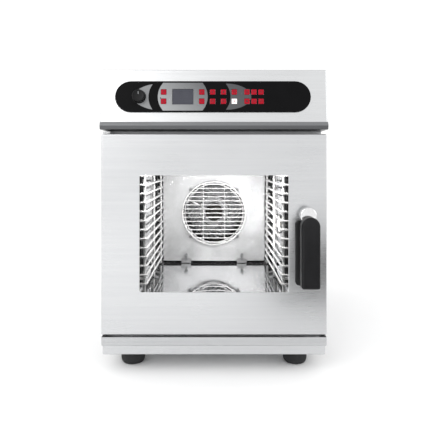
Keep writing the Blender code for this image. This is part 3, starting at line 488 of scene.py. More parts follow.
def hood(low, high, lean, fold, inset, steps=5):
    """A leaning hood, open below and behind. Each row is a path round three sides: from
    the rear of the left cheek, round both folds, to the rear of the right cheek. The rows
    rise to the top fold, follow it as a quarter circle, and close on the rear edge."""
    left, right = low.x + inset, high.x - inset
    back, top = high.y, high.z - inset
    bend = fold - inset
    rise = np.array([low.z, (low.z + top) / 2, top - bend])
    turn = np.linspace(0, np.pi / 2, steps + 1)
    heights = np.concatenate([rise[:-1], top - bend + bend * np.sin(turn)])
    drawn_in = np.concatenate([[0, 0], bend * (1 - np.cos(turn))])
    rows = []
    for height, pull in zip(heights, drawn_in):
        front = low.y + inset + (height - low.z) * math.tan(lean) + pull
        corner = max(bend - pull, 0.00005)
        u_path = [
            (left + pull, back), (left + pull, front), (right - pull, front), (right - pull, back)
        ]
        flat = rounded(u_path, corner, steps)
        rows.append(np.column_stack([flat, np.full(len(flat), height)]))
    last = rows[-1].copy()
    last[:, 1] = back
    return np.array(rows + [last])


low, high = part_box("control_fascia")
fascia = walled(
    hood(low, high, FASCIA_LEAN, FASCIA_FOLD, 0), hood(low, high, FASCIA_LEAN, FASCIA_FOLD, SHEET)
)
FASCIA_STEEL = brushed_stainless("ground_fascia_stainless", "X", "#cccdce", "#d4d5d6", (0.26, 0.36))
piece(
    "control_fascia_sheet", [fascia], FASCIA_STEEL, "oven_body", ["control_fascia"],
)

# ---- fascia lip -----------------------------------------------------------------------
# A separate folded strip under the fascia, a little prouder than the door, that sheds
# steam from the door's top edge. Its steel tones are painted shade for its sloped underside.

low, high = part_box("fascia_lip")
half_sheet = SHEET / 2
path = [
    (low.y + 0.0044 + half_sheet, high.z), (low.y + half_sheet, 0.5625),
    (low.y + 0.0020 + half_sheet, low.z + half_sheet), (high.y, low.z + half_sheet),
]
sideways = (np.array([0.0, 0, 0]), np.array([(0, 1, 0), (0, 0, 1), (1, 0, 0)], float))
lip = carried(folded(path, (0.0020, 0.0015), SHEET), low.x, high.x, sideways)
# The lip is the fascia's brushed steel, painted darker here as painted shade.
LIP_STEEL_PAINTED_SHADE = brushed_stainless("lip_stainless_painted_shade", "X", "#7c7d7f", "#88898b", (0.30, 0.42))
# Painted shade: the lower half of the strip is painted darker still, for its downward face.
lip_tree = LIP_STEEL_PAINTED_SHADE.node_tree
lip_shader = lip_tree.nodes["Principled BSDF"]
shaded_brush_colour = lip_shader.inputs["Base Color"].links[0].from_socket
lip_where = add(lip_tree, "ShaderNodeTexCoord", {}).outputs["Object"]
lip_height = add(lip_tree, "ShaderNodeSeparateXYZ", {"Vector": lip_where}).outputs["Z"]
unmarked = add(
    lip_tree, "ShaderNodeMapRange", {"Value": lip_height, "From Min": 0.5600, "From Max": 0.5640}
)
painted_lower_shade = add(
    lip_tree, "ShaderNodeMix",
    {0: unmarked.outputs["Result"], 6: tone("#5c5d5f"), 7: shaded_brush_colour}, data_type="RGBA",
)
lip_tree.links.new(painted_lower_shade.outputs[2], lip_shader.inputs["Base Color"])
piece("fascia_lip_sheet", [lip], LIP_STEEL_PAINTED_SHADE, "oven_body", ["fascia_lip"])

# ---- control overlay ------------------------------------------------------------------
# A black moulded plate with round ends, printed from behind: a silver field round the
# display, and a silver crescent on either side of it. It is bonded into the fascia.

low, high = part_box("control_overlay")
PANEL_OUT = np.array([0, -math.cos(FASCIA_LEAN), math.sin(FASCIA_LEAN)])
OVERLAY_FACE = 0.0023  # above the fascia sheet
middle = np.array([low.x + high.x, low.y + high.y, low.z + high.z]) / 2
PANEL = facing(middle - PANEL_OUT * (OVERLAY_FACE + 0.0003) / 2, PANEL_OUT)

# Acrylic plate printed black on its rear: deep, even and glossy, with a slight wave in
# the gloss where it was cast.
OVERLAY_BLACK = mottled(
    "backprinted_acrylic_black", {"IOR": 1.49, "Specular IOR Level": 0.05},
    ("#0b0b0c", "#101011"), (0.22, 0.34), 35, relief=(0.05, 0.0004),
)
finished(["control_overlay"], OVERLAY_BLACK)


def silver_print(name, pale, deep, turn_from):
    """Silver ink: aluminium flakes in a clear binder, satin and a little uneven. It is
    printed as a tint that deepens across the field, away from its lower left."""
    material, tree = new_finish(name, {"Metallic": 0.35, "IOR": 1.5})
    where = add(tree, "ShaderNodeTexCoord", {}).outputs["Object"]
    axis = add(tree, "ShaderNodeMapping", {"Vector": where, "Location": turn_from})
    split = add(tree, "ShaderNodeSeparateXYZ", {"Vector": axis.outputs["Vector"]})
    slope = add(
        tree, "ShaderNodeMath", {0: split.outputs["X"], 1: split.outputs["Z"]},
        operation="ADD",
    )
    share = add(
        tree,
        "ShaderNodeMapRange",
        {"Value": slope.outputs[0], "From Min": -0.085, "From Max": 0.085},
    )
    flake = add(tree, "ShaderNodeTexNoise", {"Vector": where, "Scale": repeats(0.5), "Detail": 2.0})
    speck = add(
        tree, "ShaderNodeMath",
        {0: flake.outputs["Fac"], 1: 0.12, 2: share.outputs["Result"]},
        operation="MULTIPLY_ADD",
    )
    return coated(
        material, (pale, deep), (0.36, 0.50), speck.outputs[0], gloss=flake.outputs["Fac"]
    )


def arc_points(centre, radius, start, end, steps):
    """centre + radius (cos, sin) between two angles in degrees; the radius may be a pair."""
    turn = np.radians(np.linspace(start, end, steps + 1))
    return np.asarray(centre) + np.stack([np.cos(turn), np.sin(turn)], -1) * radius


def arc_through(start, end, sagitta, steps=24):
    """An arc between two points that bulges to the right of the run by the sagitta: its
    radius is (half chord squared + sagitta squared) / (2 sagitta)."""
    start, end = np.asarray(start, float), np.asarray(end, float)
    chord = end - start
    half = np.linalg.norm(chord) / 2
    right = np.array([chord[1], -chord[0]]) / (2 * half)
    radius = (half**2 + sagitta**2) / (2 * sagitta)
    centre = (start + end) / 2 + right * (sagitta - radius)
    first, last = start - centre, end - centre
    turn = np.arctan2(first[0] * last[1] - first[1] * last[0], first @ last)
    angle = np.linspace(0, turn, steps + 1)[:, None]
    return centre + np.cos(angle) * first + np.sin(angle) * first[::-1] * (-1, 1)


PRINT_RISE = 0.00006


def inlay(
    name,
    outlines,
    finish,
    body="oven_body",
    base=OVERLAY_FACE,
    rise=PRINT_RISE,
):
    """Flat printed shapes: each outline carried a hair's breadth out of the panel."""
    shells = [carried(outline, base, base + rise, PANEL) for outline in outlines]
    return piece(name, shells, finish, body)


KEY_ROW = 0.01065
KEY_COLUMNS = [-0.1109, -0.0251, -0.0007, 0.0237, 0.0481, 0.0765, 0.09235, 0.1082]
KEY_HALF = 0.0060
KNOB_U = -0.1664
KNOB_RADIUS = 0.0146


def key_window(u, v, bulge=0.0006):
    """The opening for a key in the print: its square with round corners, a little larger."""
    reach = KEY_HALF + bulge
    return corners([(u - reach, v - reach)], [(u + reach, v + reach)], [0.0014], 3)[0]


def cut_sheet(outline, openings, base, thickness, place):
    """A flat sheet filled between its outline and the outlines of its openings, from a
    height above the place's origin to that height plus the thickness."""
    curve = bpy.data.curves.new("cut_sheet", "CURVE")
    curve.dimensions = "2D"
    curve.fill_mode = "BOTH"
    curve.extrude = thickness / 2
    for loop in [outline, *openings]:
        spline = curve.splines.new("POLY")
        spline.points.add(len(loop) - 1)
        rows = np.column_stack([loop, np.zeros(len(loop)), np.ones(len(loop))])
        spline.points.foreach_set("co", rows.ravel())
        spline.use_cyclic_u = True
    holder = bpy.data.objects.new("cut_sheet", curve)
    mesh = bpy.data.meshes.new_from_object(holder)
    flat = np.zeros(len(mesh.vertices) * 3)
    mesh.vertices.foreach_get("co", flat)
    points = flat.reshape(-1, 3) + (0, 0, base + thickness / 2)
    faces = [list(face.vertices) for face in mesh.polygons]
    bpy.data.objects.remove(holder)
    bpy.data.meshes.remove(mesh)
    return placed(points, place), faces


# The silver field bulges at both ends, and its four corners are rounded.
FIELD_LEFT, FIELD_RIGHT, FIELD_TOP = -0.1136, -0.0220, 0.0319
field = np.concatenate(
    [
        arc_through((FIELD_LEFT, FIELD_TOP - 0.002), (FIELD_LEFT, 0.002 - FIELD_TOP), 0.0104),
        arc_points((FIELD_LEFT + 0.0022, 0.002 - FIELD_TOP), 0.002, 200, 270, 4),
        arc_points((FIELD_RIGHT - 0.0022, 0.002 - FIELD_TOP), 0.002, 270, 340, 4),
        arc_through((FIELD_RIGHT, 0.002 - FIELD_TOP), (FIELD_RIGHT, FIELD_TOP - 0.002), 0.0102),
        arc_points((FIELD_RIGHT - 0.0022, FIELD_TOP - 0.002), 0.002, 20, 90, 4),
        arc_points((FIELD_LEFT + 0.0022, FIELD_TOP - 0.002), 0.002, 90, 160, 4),
    ]
)
DISPLAY_U, DISPLAY_HALF_U, DISPLAY_HALF_V = -0.0677, 0.0239, 0.0178
display_window = corners(
    [(DISPLAY_U - DISPLAY_HALF_U, -DISPLAY_HALF_V)],
    [(DISPLAY_U + DISPLAY_HALF_U, DISPLAY_HALF_V)], [0.0006], 2,
)[0]
windows = [key_window(u, v) for u in KEY_COLUMNS[:2] for v in (KEY_ROW, -KEY_ROW)]
SILVER = silver_print("silver_ink_field", "#989a9b", "#5a5b5d", (0.070, 0, -0.627))
piece(
    "display_field_print",
    [cut_sheet(field, [display_window, *windows], OVERLAY_FACE, PRINT_RISE, PANEL)], SILVER,
    "oven_body",
)

# The right crescent is a half ellipse with a wide bite out of its left side.
tip_low, tip_high = (0.0290, -0.0297), (0.0290, 0.0297)
right_crescent = np.concatenate(
    [
        arc_points((0.0296, 0), (0.0565, 0.0300), -90, 90, 40)[1:-1],
        arc_through(tip_high, tip_low, -0.0105),
    ]
)
windows = [key_window(KEY_COLUMNS[4], v) for v in (KEY_ROW, -KEY_ROW)]
windows += [key_window(KEY_COLUMNS[5], v) for v in (KEY_ROW, -KEY_ROW)]
DARK_SILVER = silver_print("dark_silver_ink_crescent", "#505153", "#404144", (-0.050, 0, -0.627))
piece(
    "right_crescent_print",
    [cut_sheet(right_crescent, windows, OVERLAY_FACE, PRINT_RISE, PANEL)], DARK_SILVER,
    "oven_body",
)

# The left crescent reaches round the knob: its outer side follows a wide ellipse from
# either tip, and its inner side is bitten out round the knob's seat.
SEAT_RADIUS = KNOB_RADIUS + 0.0012
left_crescent = np.concatenate(
    [
        arc_through((-0.1358, 0.0285), (-0.1358, -0.0293), 0.0092),
        arc_through((-0.1358, -0.0293), (-0.1702, -0.0158), -0.0022, 10)[1:],
        arc_points((KNOB_U, 0), SEAT_RADIUS, 255, 435, 24),
        arc_through((-0.1702, 0.0152), (-0.1358, 0.0285), -0.0022, 10)[:-1],
    ]
)
PALE_SILVER = silver_print("silver_ink_crescent", "#808182", "#747577", (0.155, 0, -0.627))
inlay("left_crescent_print", [left_crescent], PALE_SILVER)

# ---- display --------------------------------------------------------------------------
# The display module's clear lens in its window, dark slate when idle, with a thin lighter
# bezel, and the circuit board that carries it behind the overlay.


def idle_display_lens():
    """A liquid crystal cell behind an acrylic lens: flat slate grey, faintly lined at the
    cell's pitch, under a clear gloss."""
    material, tree = new_finish(
        "idle_liquid_crystal_lens", {"IOR": 1.49, "Specular IOR Level": 0.2}
    )
    where = add(tree, "ShaderNodeTexCoord", {}).outputs["Object"]
    line = add(
        tree,
        "ShaderNodeTexWave",
        {"Vector": where, "Scale": repeats(0.8) / 20, "Distortion": 0.0},
        bands_direction="Z",
    )
    cloud = add(tree, "ShaderNodeTexNoise", {"Vector": where, "Scale": repeats(20)})
    both = add(
        tree, "ShaderNodeMath", {0: line.outputs["Fac"], 1: 0.15, 2: cloud.outputs["Fac"]},
        operation="MULTIPLY_ADD",
    )
    return coated(
        material, ("#3a3b43", "#43444b"), (0.2, 0.3), both.outputs[0], gloss=cloud.outputs["Fac"]
    )


LENS = idle_display_lens()
lens_levels = [(0.0004, -0.0004), (0.0004, 0.0012), (0.0008, 0.0016), (0.0020, 0.0016)]
lens_low = (DISPLAY_U - DISPLAY_HALF_U, -DISPLAY_HALF_V)
lens_high = (DISPLAY_U + DISPLAY_HALF_U, DISPLAY_HALF_V)
lens = stacked(lens_low, lens_high, 0.0014, lens_levels, PANEL, 3)
piece("display_lens", [skin(lens)], LENS, "oven_body")

BEZEL_WIDTH = 0.0011
bezel_levels = [
    (-BEZEL_WIDTH, OVERLAY_FACE), (-BEZEL_WIDTH, OVERLAY_FACE + 0.00025),
    (-0.0001, OVERLAY_FACE + 0.00025), (0.0002, OVERLAY_FACE - 0.0004),
    (0.0002, OVERLAY_FACE - 0.0006),
]
bezel = stacked(lens_low, lens_high, 0.0012, bezel_levels, PANEL, 3)
BEZEL_SILVER = silver_print("silver_ink_bezel", "#8f9091", "#66676a", (0.070, 0, -0.627))
piece(
    "display_bezel", [skin(bezel, round_trip=True)], BEZEL_SILVER, "oven_body",
)

INDICATOR = (-0.1179, -0.0032)
dot_place = facing(placed([(*INDICATOR, OVERLAY_FACE)], PANEL)[0], PANEL_OUT)
dot = turned(
    [(0, 0.0003), (0.0007, 0.00028), (0.0012, 0.0001), (0.0013, -0.0002), (0, -0.0002)],
    dot_place, 24,
)
piece("indicator_lamp", [dot], OVERLAY_BLACK, "oven_body")


def solder_resist_green():
    """Epoxy glass board under green solder resist: a satin green with a woven glass grain
    of half a millimetre, and darker where the copper is etched away."""
    material, tree = new_finish("solder_resist_on_glass_epoxy", {"IOR": 1.5})
    where = add(tree, "ShaderNodeTexCoord", {}).outputs["Object"]
    copper = add(
        tree,
        "ShaderNodeTexVoronoi",
        {"Vector": where, "Scale": repeats(4)},
        distance="CHEBYCHEV",
    )
    weave = add(tree, "ShaderNodeTexNoise", {"Vector": where, "Scale": repeats(0.5)})
    return coated(
        material, ("#0d4a2c", "#1c6b41"), (0.3, 0.5), copper.outputs["Distance"],
        gloss=weave.outputs["Fac"],
    )


finished(["display_board"], solder_resist_green())

# ---- keys -----------------------------------------------------------------------------
# Sixteen square push keys moulded in tinted acrylic, red except for one that is lit
# white. Each cap is a little crowned and has a plain sign printed on it.


def tinted_acrylic(name, body, edge, glow=0.0):
    """Injection-moulded acrylic tinted right through: saturated, glossy, and a little
    deeper where the light enters at a slant. A lit key glows faintly."""
    resin = {
        "IOR": 1.49,
        "Specular IOR Level": 0.12,
        "Subsurface Weight": 0.10,
        "Subsurface Radius": (0.002, 0.0004, 0.0004),
        "Subsurface Scale": 0.5,
        "Emission Strength": glow,
        "Emission Color": tone(body),
    }
    return mottled(name, resin, (edge, body), (0.25, 0.40), 7)


def screen_ink(name, pale, deep):
    """Screen-printed ink: matt, with a slight mottle where the screen lifted."""
    return mottled(name, {"IOR": 1.5}, (deep, pale), (0.5, 0.7), 0.6)


RED_ACRYLIC = tinted_acrylic("red_tinted_acrylic", "#a51026", "#8c0b1d")
LIT_ACRYLIC = tinted_acrylic("lit_white_acrylic", "#f3eeee", "#e6dedf", 0.12)
DARK_INK = screen_ink("dark_screen_ink", "#3a0a12", "#2a060c")
RED_INK = screen_ink("red_screen_ink", "#b8646c", "#a5525b")

KEY_FLANGE_HALF = 0.0070
KEY_FACE = 0.0031
KEY_CROWN = 0.00025
key_levels = np.concatenate(
    [
        [(0.0005, -0.0020), (0.0, -0.0018), (0.0, -0.0005), (0.0002, -0.0003), (0.0010, -0.0003)],
        [(0.0010, KEY_FACE - 0.0010)],
        quarter(0.0018, KEY_FACE - 0.0008 - KEY_CROWN, 0.0008, 180, 90, 3),
        [(0.0035, KEY_FACE - 0.4 * KEY_CROWN), (0.0055, KEY_FACE - 0.05 * KEY_CROWN)],
    ]
)


def stroke(path, width=0.16):
    """A ribbon along a path: the path offset half its width to both sides, closed."""
    path = np.asarray(path, float)
    run = np.gradient(path, axis=0)
    run /= np.maximum(np.linalg.norm(run, axis=1, keepdims=True), 1e-9)
    side = run[:, ::-1] * (1, -1) * width / 2
    return np.concatenate([path + side, (path - side)[::-1]])


def ring_sign(radius, start=0, end=350):
    """A stroke along part of a circle round the middle of the sign."""
    return stroke(arc_points((0, 0), radius, start, end, 20))


def blob(points):
    """A filled shape, given by its corners."""
    return np.asarray(points, float)


# The signs are drawn in a square from -1 to 1: plain strokes, discs and arrow heads.
DISC = arc_points((0, 0), 0.22, 0, 330, 11)
ARROW_UP = [stroke([(0, -0.8), (0, 0.3)]), blob([(-0.4, 0.2), (0.4, 0.2), (0, 0.8)])]
ARROW_DOWN = [stroke([(0, 0.8), (0, -0.3)]), blob([(-0.4, -0.2), (0, -0.8), (0.4, -0.2)])]
SIGNS = {
    "key_top_1": ARROW_UP,
    "key_bottom_1": ARROW_DOWN,
    "key_top_2": [
        stroke([(-0.7, 0), (0.7, 0)]), stroke([(0, 0.08), (0, 0.7)]),
        stroke([(0, -0.08), (0, -0.7)]),
    ],
    "key_bottom_2": [stroke([(-0.7, 0), (0.7, 0)])],
    "key_top_3": [
        ring_sign(0.35), stroke([(0, -0.75), (0, -0.45)]), stroke([(0, 0.45), (0, 0.75)])
    ],
    "key_bottom_3": [ring_sign(0.65, 110, 430), stroke([(0, 0.1), (0, 0.8)])],
    "key_top_4": [blob(arc_points((0, -0.2), 0.42, 160, 380, 12).tolist() + [(0, 0.8)])],
    "key_bottom_4": [
        stroke([(x + 0.12 * math.sin(3 * t), t) for t in np.linspace(-0.7, 0.7, 9)])
        for x in (-0.45, 0, 0.45)
    ],
    "key_top_5": [ring_sign(0.7), stroke([(0, 0.5), (0, 0.0), (0.35, -0.2)])],
    "key_bottom_5": [blob([(-0.4, -0.6), (0.6, 0), (-0.4, 0.6)])],
    "key_top_6": [stroke([(-0.7, y), (0.7, y)]) for y in (-0.45, 0, 0.45)],
    "key_bottom_6": [blob([(-0.5, -0.5), (0.5, -0.5), (0.5, 0.5), (-0.5, 0.5)])],
    "key_top_7": [
        stroke(arc_points(centre, 0.35, start, start + 180, 8))
        for start, centre in zip((0, 120, 240), arc_points((0, 0), 0.35, 0, 240, 2))
    ],
    "key_bottom_7": [
        stroke([(-0.6, -0.6), (0.6, 0.6)]), stroke([(-0.6, 0.6), (-0.08, 0.08)]),
        stroke([(0.08, -0.08), (0.6, -0.6)]),
    ],
    "key_top_8": [
        DISC,
        *(
            stroke([(0.4 * c, 0.4 * s), (0.75 * c, 0.75 * s)])
            for c, s in arc_points((0, 0), 1, 0, 300, 5)
        ),
    ],
    "key_bottom_8": [
        stroke(arc_points((0, 0), 0.55, -60, 210, 18)),
        blob([(-0.8, -0.15), (-0.2, -0.15), (-0.5, -0.6)]),
    ],
}
SIGN_SIZE = 0.0038

for row, v in (("top", KEY_ROW), ("bottom", -KEY_ROW)):
    for number, u in enumerate(KEY_COLUMNS, 1):
        name = f"key_{row}_{number}"
        lit = name == "key_bottom_5"
        reach = KEY_FLANGE_HALF
        low, high = (u - reach, v - reach), (u + reach, v + reach)
        cap = stacked(low, high, 0.0022, key_levels, PANEL, 4)
        piece(name + "_cap", [skin(cap)], LIT_ACRYLIC if lit else RED_ACRYLIC, name, [name])
        outlines = [outline * SIGN_SIZE + (u, v) for outline in SIGNS[name]]
        inlay(
            name + "_sign", outlines, RED_INK if lit else DARK_INK, name, KEY_FACE - 0.00012,
            0.00018,
        )

# ---- control knob ---------------------------------------------------------------------
# A round black knob moulded in ABS, gripped by shallow flutes, on a metal shaft. A white
# line on its face shows where it points.


def moulded_black_plastic(name, dark="#151516", pale="#232325", rough=(0.32, 0.46)):
    """ABS or glass-filled nylon from a spark-eroded mould: black, satin, with an even
    pebble of 0.4 mm that breaks up the highlights, and slightly polished by hands."""
    material, tree = new_finish(name, {"IOR": 1.53, "Specular IOR Level": 0.15})
    where = add(tree, "ShaderNodeTexCoord", {}).outputs["Object"]
    pebble = add(
        tree, "ShaderNodeTexNoise", {"Vector": where, "Scale": repeats(0.4), "Detail": 2.0}
    )
    handled = add(
        tree, "ShaderNodeTexNoise", {"Vector": where, "Scale": repeats(28), "Detail": 3.0}
    )
    return coated(
        material, (dark, pale), rough, handled.outputs["Fac"], dents=pebble.outputs["Fac"],
        relief=(0.15, 0.0002),
    )


KNOB_BLACK = moulded_black_plastic("moulded_abs_knob_black", "#0b0b0c", "#131314")
FLUTES = 18
knob_place = facing(placed([(KNOB_U, 0, 0)], PANEL)[0], PANEL_OUT)
rim = KNOB_RADIUS
knob_profile = np.concatenate(
    [
        [(0, 0.0138), (0.0070, 0.0139), (rim - 0.0040, 0.0142)],
        [(rim - 0.0030, 0.0148), (rim - 0.0022, 0.0150), (rim - 0.0010, 0.0146)],
        [
            (rim - 0.0003, 0.0136), (rim, 0.0122), (rim, 0.0060), (rim, 0.0036),
            (rim - 0.0006, 0.0028),
        ],
        [(0.0030, 0.0028), (0.0030, -0.0058), (0, -0.0058)],
    ]
)
points, faces = turned(knob_profile, knob_place, 6 * FLUTES)
local = (points - knob_place[0]) @ knob_place[1].T
angle = np.arctan2(local[:, 1], local[:, 0])
radius, height = np.hypot(local[:, 0], local[:, 1]), local[:, 2]
on_side = (height > 0.0050) & (height < 0.0140) & (radius > rim - 0.0006)
local[:, :2] *= (1 - 0.030 * (1 - np.cos(FLUTES * angle)) * on_side)[:, None]
knob = (placed(local, knob_place), faces)
piece("control_knob_turned", [knob], KNOB_BLACK, "knob", ["control_knob"])
PALE_INK = screen_ink("pale_screen_ink", "#a9abad", "#97999b")
pointer = [(0.0030, -0.0005), (0.0092, -0.0005), (0.0092, 0.0005), (0.0030, 0.0005)]
pointer_line = np.array(pointer)[:, ::-1] * (-1, 1) + (KNOB_U, 0)
inlay(
    "control_knob_pointer", [pointer_line], PALE_INK, "knob", 0.0136, 0.0005,
)

# The seat under the knob is a shallow black ring bonded to the plate.
seat_place = facing(placed([(KNOB_U, 0, OVERLAY_FACE)], PANEL)[0], PANEL_OUT)
seat_profile = [(0.0050, 0), (0.0050, 0.0003), (SEAT_RADIUS - 0.0002, 0.0003)]
seat_profile += [(SEAT_RADIUS, 0.0001), (SEAT_RADIUS, -0.0002), (0.0050, -0.0002)]
seat = turned(seat_profile, seat_place, round_trip=True)
piece("knob_seat", [seat], KNOB_BLACK, "oven_body")

# ---- front frame ----------------------------------------------------------------------
# A 2 mm stainless plate round the oven's mouth. The hinges, the strike and the seal are
# fixed to it, and the side panels' folds are screwed behind it.

DOOR_FACE_Y = -0.385
FRONT = facing((0, DOOR_FACE_Y, 0), (0, -1, 0))  # heights count out from the door's face
low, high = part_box("front_frame")
MOUTH_LOW, MOUTH_HIGH = (-0.178, 0.140), (0.178, 0.508)
FRAME_FRONT = DOOR_FACE_Y - low.y
outer_levels = [(0.0004, FRAME_FRONT), (0.0, FRAME_FRONT - 0.0004), (0.0, DOOR_FACE_Y - high.y)]
mouth_levels = [(0.0, DOOR_FACE_Y - high.y), (0.0, FRAME_FRONT - 0.0006), (-0.0006, FRAME_FRONT)]
rings = np.concatenate(
    [
        stacked((low.x, low.z), (high.x, high.z), 0.002, outer_levels, FRONT),
        stacked(MOUTH_LOW, MOUTH_HIGH, 0.012, mouth_levels, FRONT),
    ]
)
FRAME_STEEL = brushed_stainless("belt_brushed_frame_stainless", "X", "#97989a", "#a3a4a5")
piece(
    "front_frame_plate", [skin(rings, round_trip=True)], FRAME_STEEL, "oven_body",
    ["front_frame"],
)

# ---- cavity liner ---------------------------------------------------------------------
# The oven itself: bright-rolled stainless welded into a box with rounded corners and
# ground welds. Its floor falls a few millimetres to a strainer over the drain.


def bright_rolled_stainless(name, dark, light, rough, ripple=0.30, bare=0.8):
    """Stainless as it leaves polished rolls: nearly a mirror, with faint long waves where
    the sheet was pressed, and a thin haze of dried steam that dulls it in clouds. The more
    haze, the less of it is bare metal and the more it takes light as a matt surface does."""
    material, tree = new_finish(name, {"Metallic": bare})
    where = add(tree, "ShaderNodeTexCoord", {}).outputs["Object"]
    haze = add(tree, "ShaderNodeTexNoise", {"Vector": where, "Scale": repeats(60), "Detail": 5.0})
    wave = add(tree, "ShaderNodeTexNoise", {"Vector": where, "Scale": repeats(110), "Detail": 1.0})
    return coated(
        material, (dark, light), rough, haze.outputs["Fac"], span=(0.3, 0.7),
        dents=wave.outputs["Fac"], relief=(ripple, 0.0008),
    )


CAVITY_HALF, CAVITY_FLOOR, CAVITY_CEILING = 0.195, 0.138, 0.510
CAVITY_BACK = 0.275  # where the rear wall stands
CAVITY_DEPTH = CAVITY_BACK + 0.3247
DRAIN_Y = -0.265
FLOOR_DISH = 0.004
LINER_SHEET = 0.0010
WELD_RADIUS = 0.010


def even_outline(low, high, radius, count=176):
    """A round-cornered rectangle with its points spaced evenly along its length."""
    loop = corners([low], [high], [radius], 8)[0]
    loop = np.concatenate([loop, loop[:1]])
    length = np.concatenate([[0], np.cumsum(np.linalg.norm(np.diff(loop, axis=0), axis=1))])
    stations = np.linspace(0, length[-1], count, endpoint=False)
    return np.stack([np.interp(stations, length, loop[:, i]) for i in (0, 1)], -1)


def liner_rings(inset, heights):
    """A ring of the box at each height in front of the rear wall, drawn in by its inset."""
    rings = []
    for pull, height in np.broadcast(inset, heights):
        low = (-CAVITY_HALF + pull, CAVITY_FLOOR + pull)
        high = (CAVITY_HALF - pull, CAVITY_CEILING - pull)
        flat = even_outline(low, high, max(WELD_RADIUS - pull, 0.0005))
        rings.append(np.column_stack([flat, np.full(len(flat), height)]))
    return np.array(rings)


turn = np.radians(np.linspace(0, 90, 6))
straight = np.linspace(WELD_RADIUS, CAVITY_DEPTH, 24)
inner_inset = np.concatenate(
    [[WELD_RADIUS + 0.001], WELD_RADIUS * (1 - np.sin(turn)), np.zeros(len(straight) - 1)]
)
inner_height = np.concatenate([[0.0], WELD_RADIUS * (1 - np.cos(turn)), straight[1:]])
rings = np.concatenate(
    [
        liner_rings(inner_inset, inner_height),
        liner_rings(inner_inset[::-1] - LINER_SHEET, inner_height[::-1] - LINER_SHEET),
    ]
)
points, faces = skin(placed(rings, facing((0, CAVITY_BACK, 0), (0, -1, 0))))
# The floor sinks as a shallow pyramid: at each point by the smaller of its shares of the
# way from the side walls and from the end walls to the drain.
share_x = 1 - abs(points[:, 0]) / CAVITY_HALF
from_front = (points[:, 1] - CAVITY_BACK + CAVITY_DEPTH) / (DRAIN_Y - CAVITY_BACK + CAVITY_DEPTH)
from_back = (CAVITY_BACK - points[:, 1]) / (CAVITY_BACK - DRAIN_Y)
share = np.clip(np.minimum(share_x, np.minimum(from_front, from_back)), 0, 1)
points[:, 2] -= FLOOR_DISH * share * (points[:, 2] < CAVITY_FLOOR + WELD_RADIUS / 2)
LINER_STEEL = bright_rolled_stainless(
    "bright_rolled_liner_stainless", "#cbccce", "#e2e2e3", (0.01, 0.035), 0.08, 0.97
)
piece(
    "cavity_liner_box", [(points, faces)], LINER_STEEL, "oven_body", ["cavity_liner"],
)

# The strainer is a punched disc that drops into the drain's neck.
STRAINER_RADIUS = 0.026
hole_rings = [(0.0, 1), (0.0065, 6), (0.0130, 12), (0.0195, 18)]
holes = [
    arc_points(centre, 0.0019, 0, 324, 9)
    for radius, count in hole_rings
    for centre in arc_points((0, 0), radius, 0, 360 * (1 - 1 / count), max(count - 1, 1))[:count]
]
strainer_place = facing((0, DRAIN_Y, CAVITY_FLOOR - FLOOR_DISH), (0, 0, 1), (0, 1, 0))
strainer = cut_sheet(
    arc_points((0, 0), STRAINER_RADIUS, 0, 350, 35), holes, 0.0004, 0.0008, strainer_place
)
piece("drain_strainer", [strainer], HARDWARE, "oven_body")
drain_well = turned(
    [(0, 0.0002), (0.0175, 0.0002), (0.0175, -0.0008), (0, -0.0008)], strainer_place, 32
)
piece("drain_well", [drain_well], RUBBER, "oven_body")

# ---- racks ----------------------------------------------------------------------------
# Two ladders of 6 mm stainless wire, each rung bent out to the wall at both ends and
# welded to three uprights. Electropolished, so that every wire has a bright line. A black
# silicone strip on the wall behind its front keeps each one from rattling.


def wire(path, radius, lean, sides=10):
    """A round wire: rings of `side` cos a + `up` sin a across the path, where `side` is
    square to the path and the lean. Both ends close as domes of three shrinking rings."""
    path = np.asarray(path, float)
    run = np.gradient(path, axis=0)
    run /= np.linalg.norm(run, axis=1, keepdims=True)
    turn = np.radians([88, 60, 30])[:, None]
    domes = [
        path[0] - run[0] * radius * np.sin(turn), path[-1] + run[-1] * radius * np.sin(turn[::-1])
    ]
    centres = np.concatenate([domes[0], path, domes[1]])
    shrink = np.cos(turn[:, 0])
    radii = radius * np.concatenate([shrink, np.ones(len(path)), shrink[::-1]])
    runs = np.concatenate([np.repeat(run[:1], 3, 0), run, np.repeat(run[-1:], 3, 0)])
    leans = np.broadcast_to(lean, path.shape)
    leans = np.concatenate([np.repeat(leans[:1], 3, 0), leans, np.repeat(leans[-1:], 3, 0)])
    side = np.cross(runs, leans)
    side /= np.linalg.norm(side, axis=1, keepdims=True)
    up = np.cross(side, runs)
    angle = np.linspace(0, 2 * np.pi, sides, endpoint=False)[:, None]
    spokes = np.cos(angle) * side[:, None] + np.sin(angle) * up[:, None]
    return skin(centres[:, None] + radii[:, None, None] * spokes)


# Drawn stainless wire after an electropolish: bright and slightly uneven along its
# length. The acid leaves a fine pale bloom that takes light as a matt surface does.
WIRE_STEEL = mottled(
    "electropolished_stainless_wire", {"Metallic": 0.6}, ("#c9c8c6", "#f0f0f0"), (0.08, 0.26),
    5, detail=3.0, relief=(0.12, 0.0004),
)
# Near-black silicone for the wall strips, and painted shadow in the gap under the baffle.
BLACK_SILICONE_AND_PAINTED_SHADOW = moulded_rubber("black_silicone_and_painted_shadow", "#060607", "#0c0c0d")
RUNG_X, POST_X, END_BAR_X, WALL_X = 0.174, 0.1795, 0.1885, 0.1947
RACK_FRONT, RACK_REAR = -0.235, 0.163
POST_DEPTHS = (-0.227, -0.035, 0.153)
POST_ENDS = (0.1445, 0.4985)
HOOK_HEIGHTS = (0.180, 0.460)
RUNG_HEIGHTS = 0.1672 + 0.0232 * np.arange(15)
STRIP_ENDS = (-0.205, -0.105)  # where the silicone strip runs along the wall
STRIP_LEVELS = [(0.0006, 0.0001), (0.0, 0.0005), (0.0, 0.0015), (0.0006, 0.0020)]

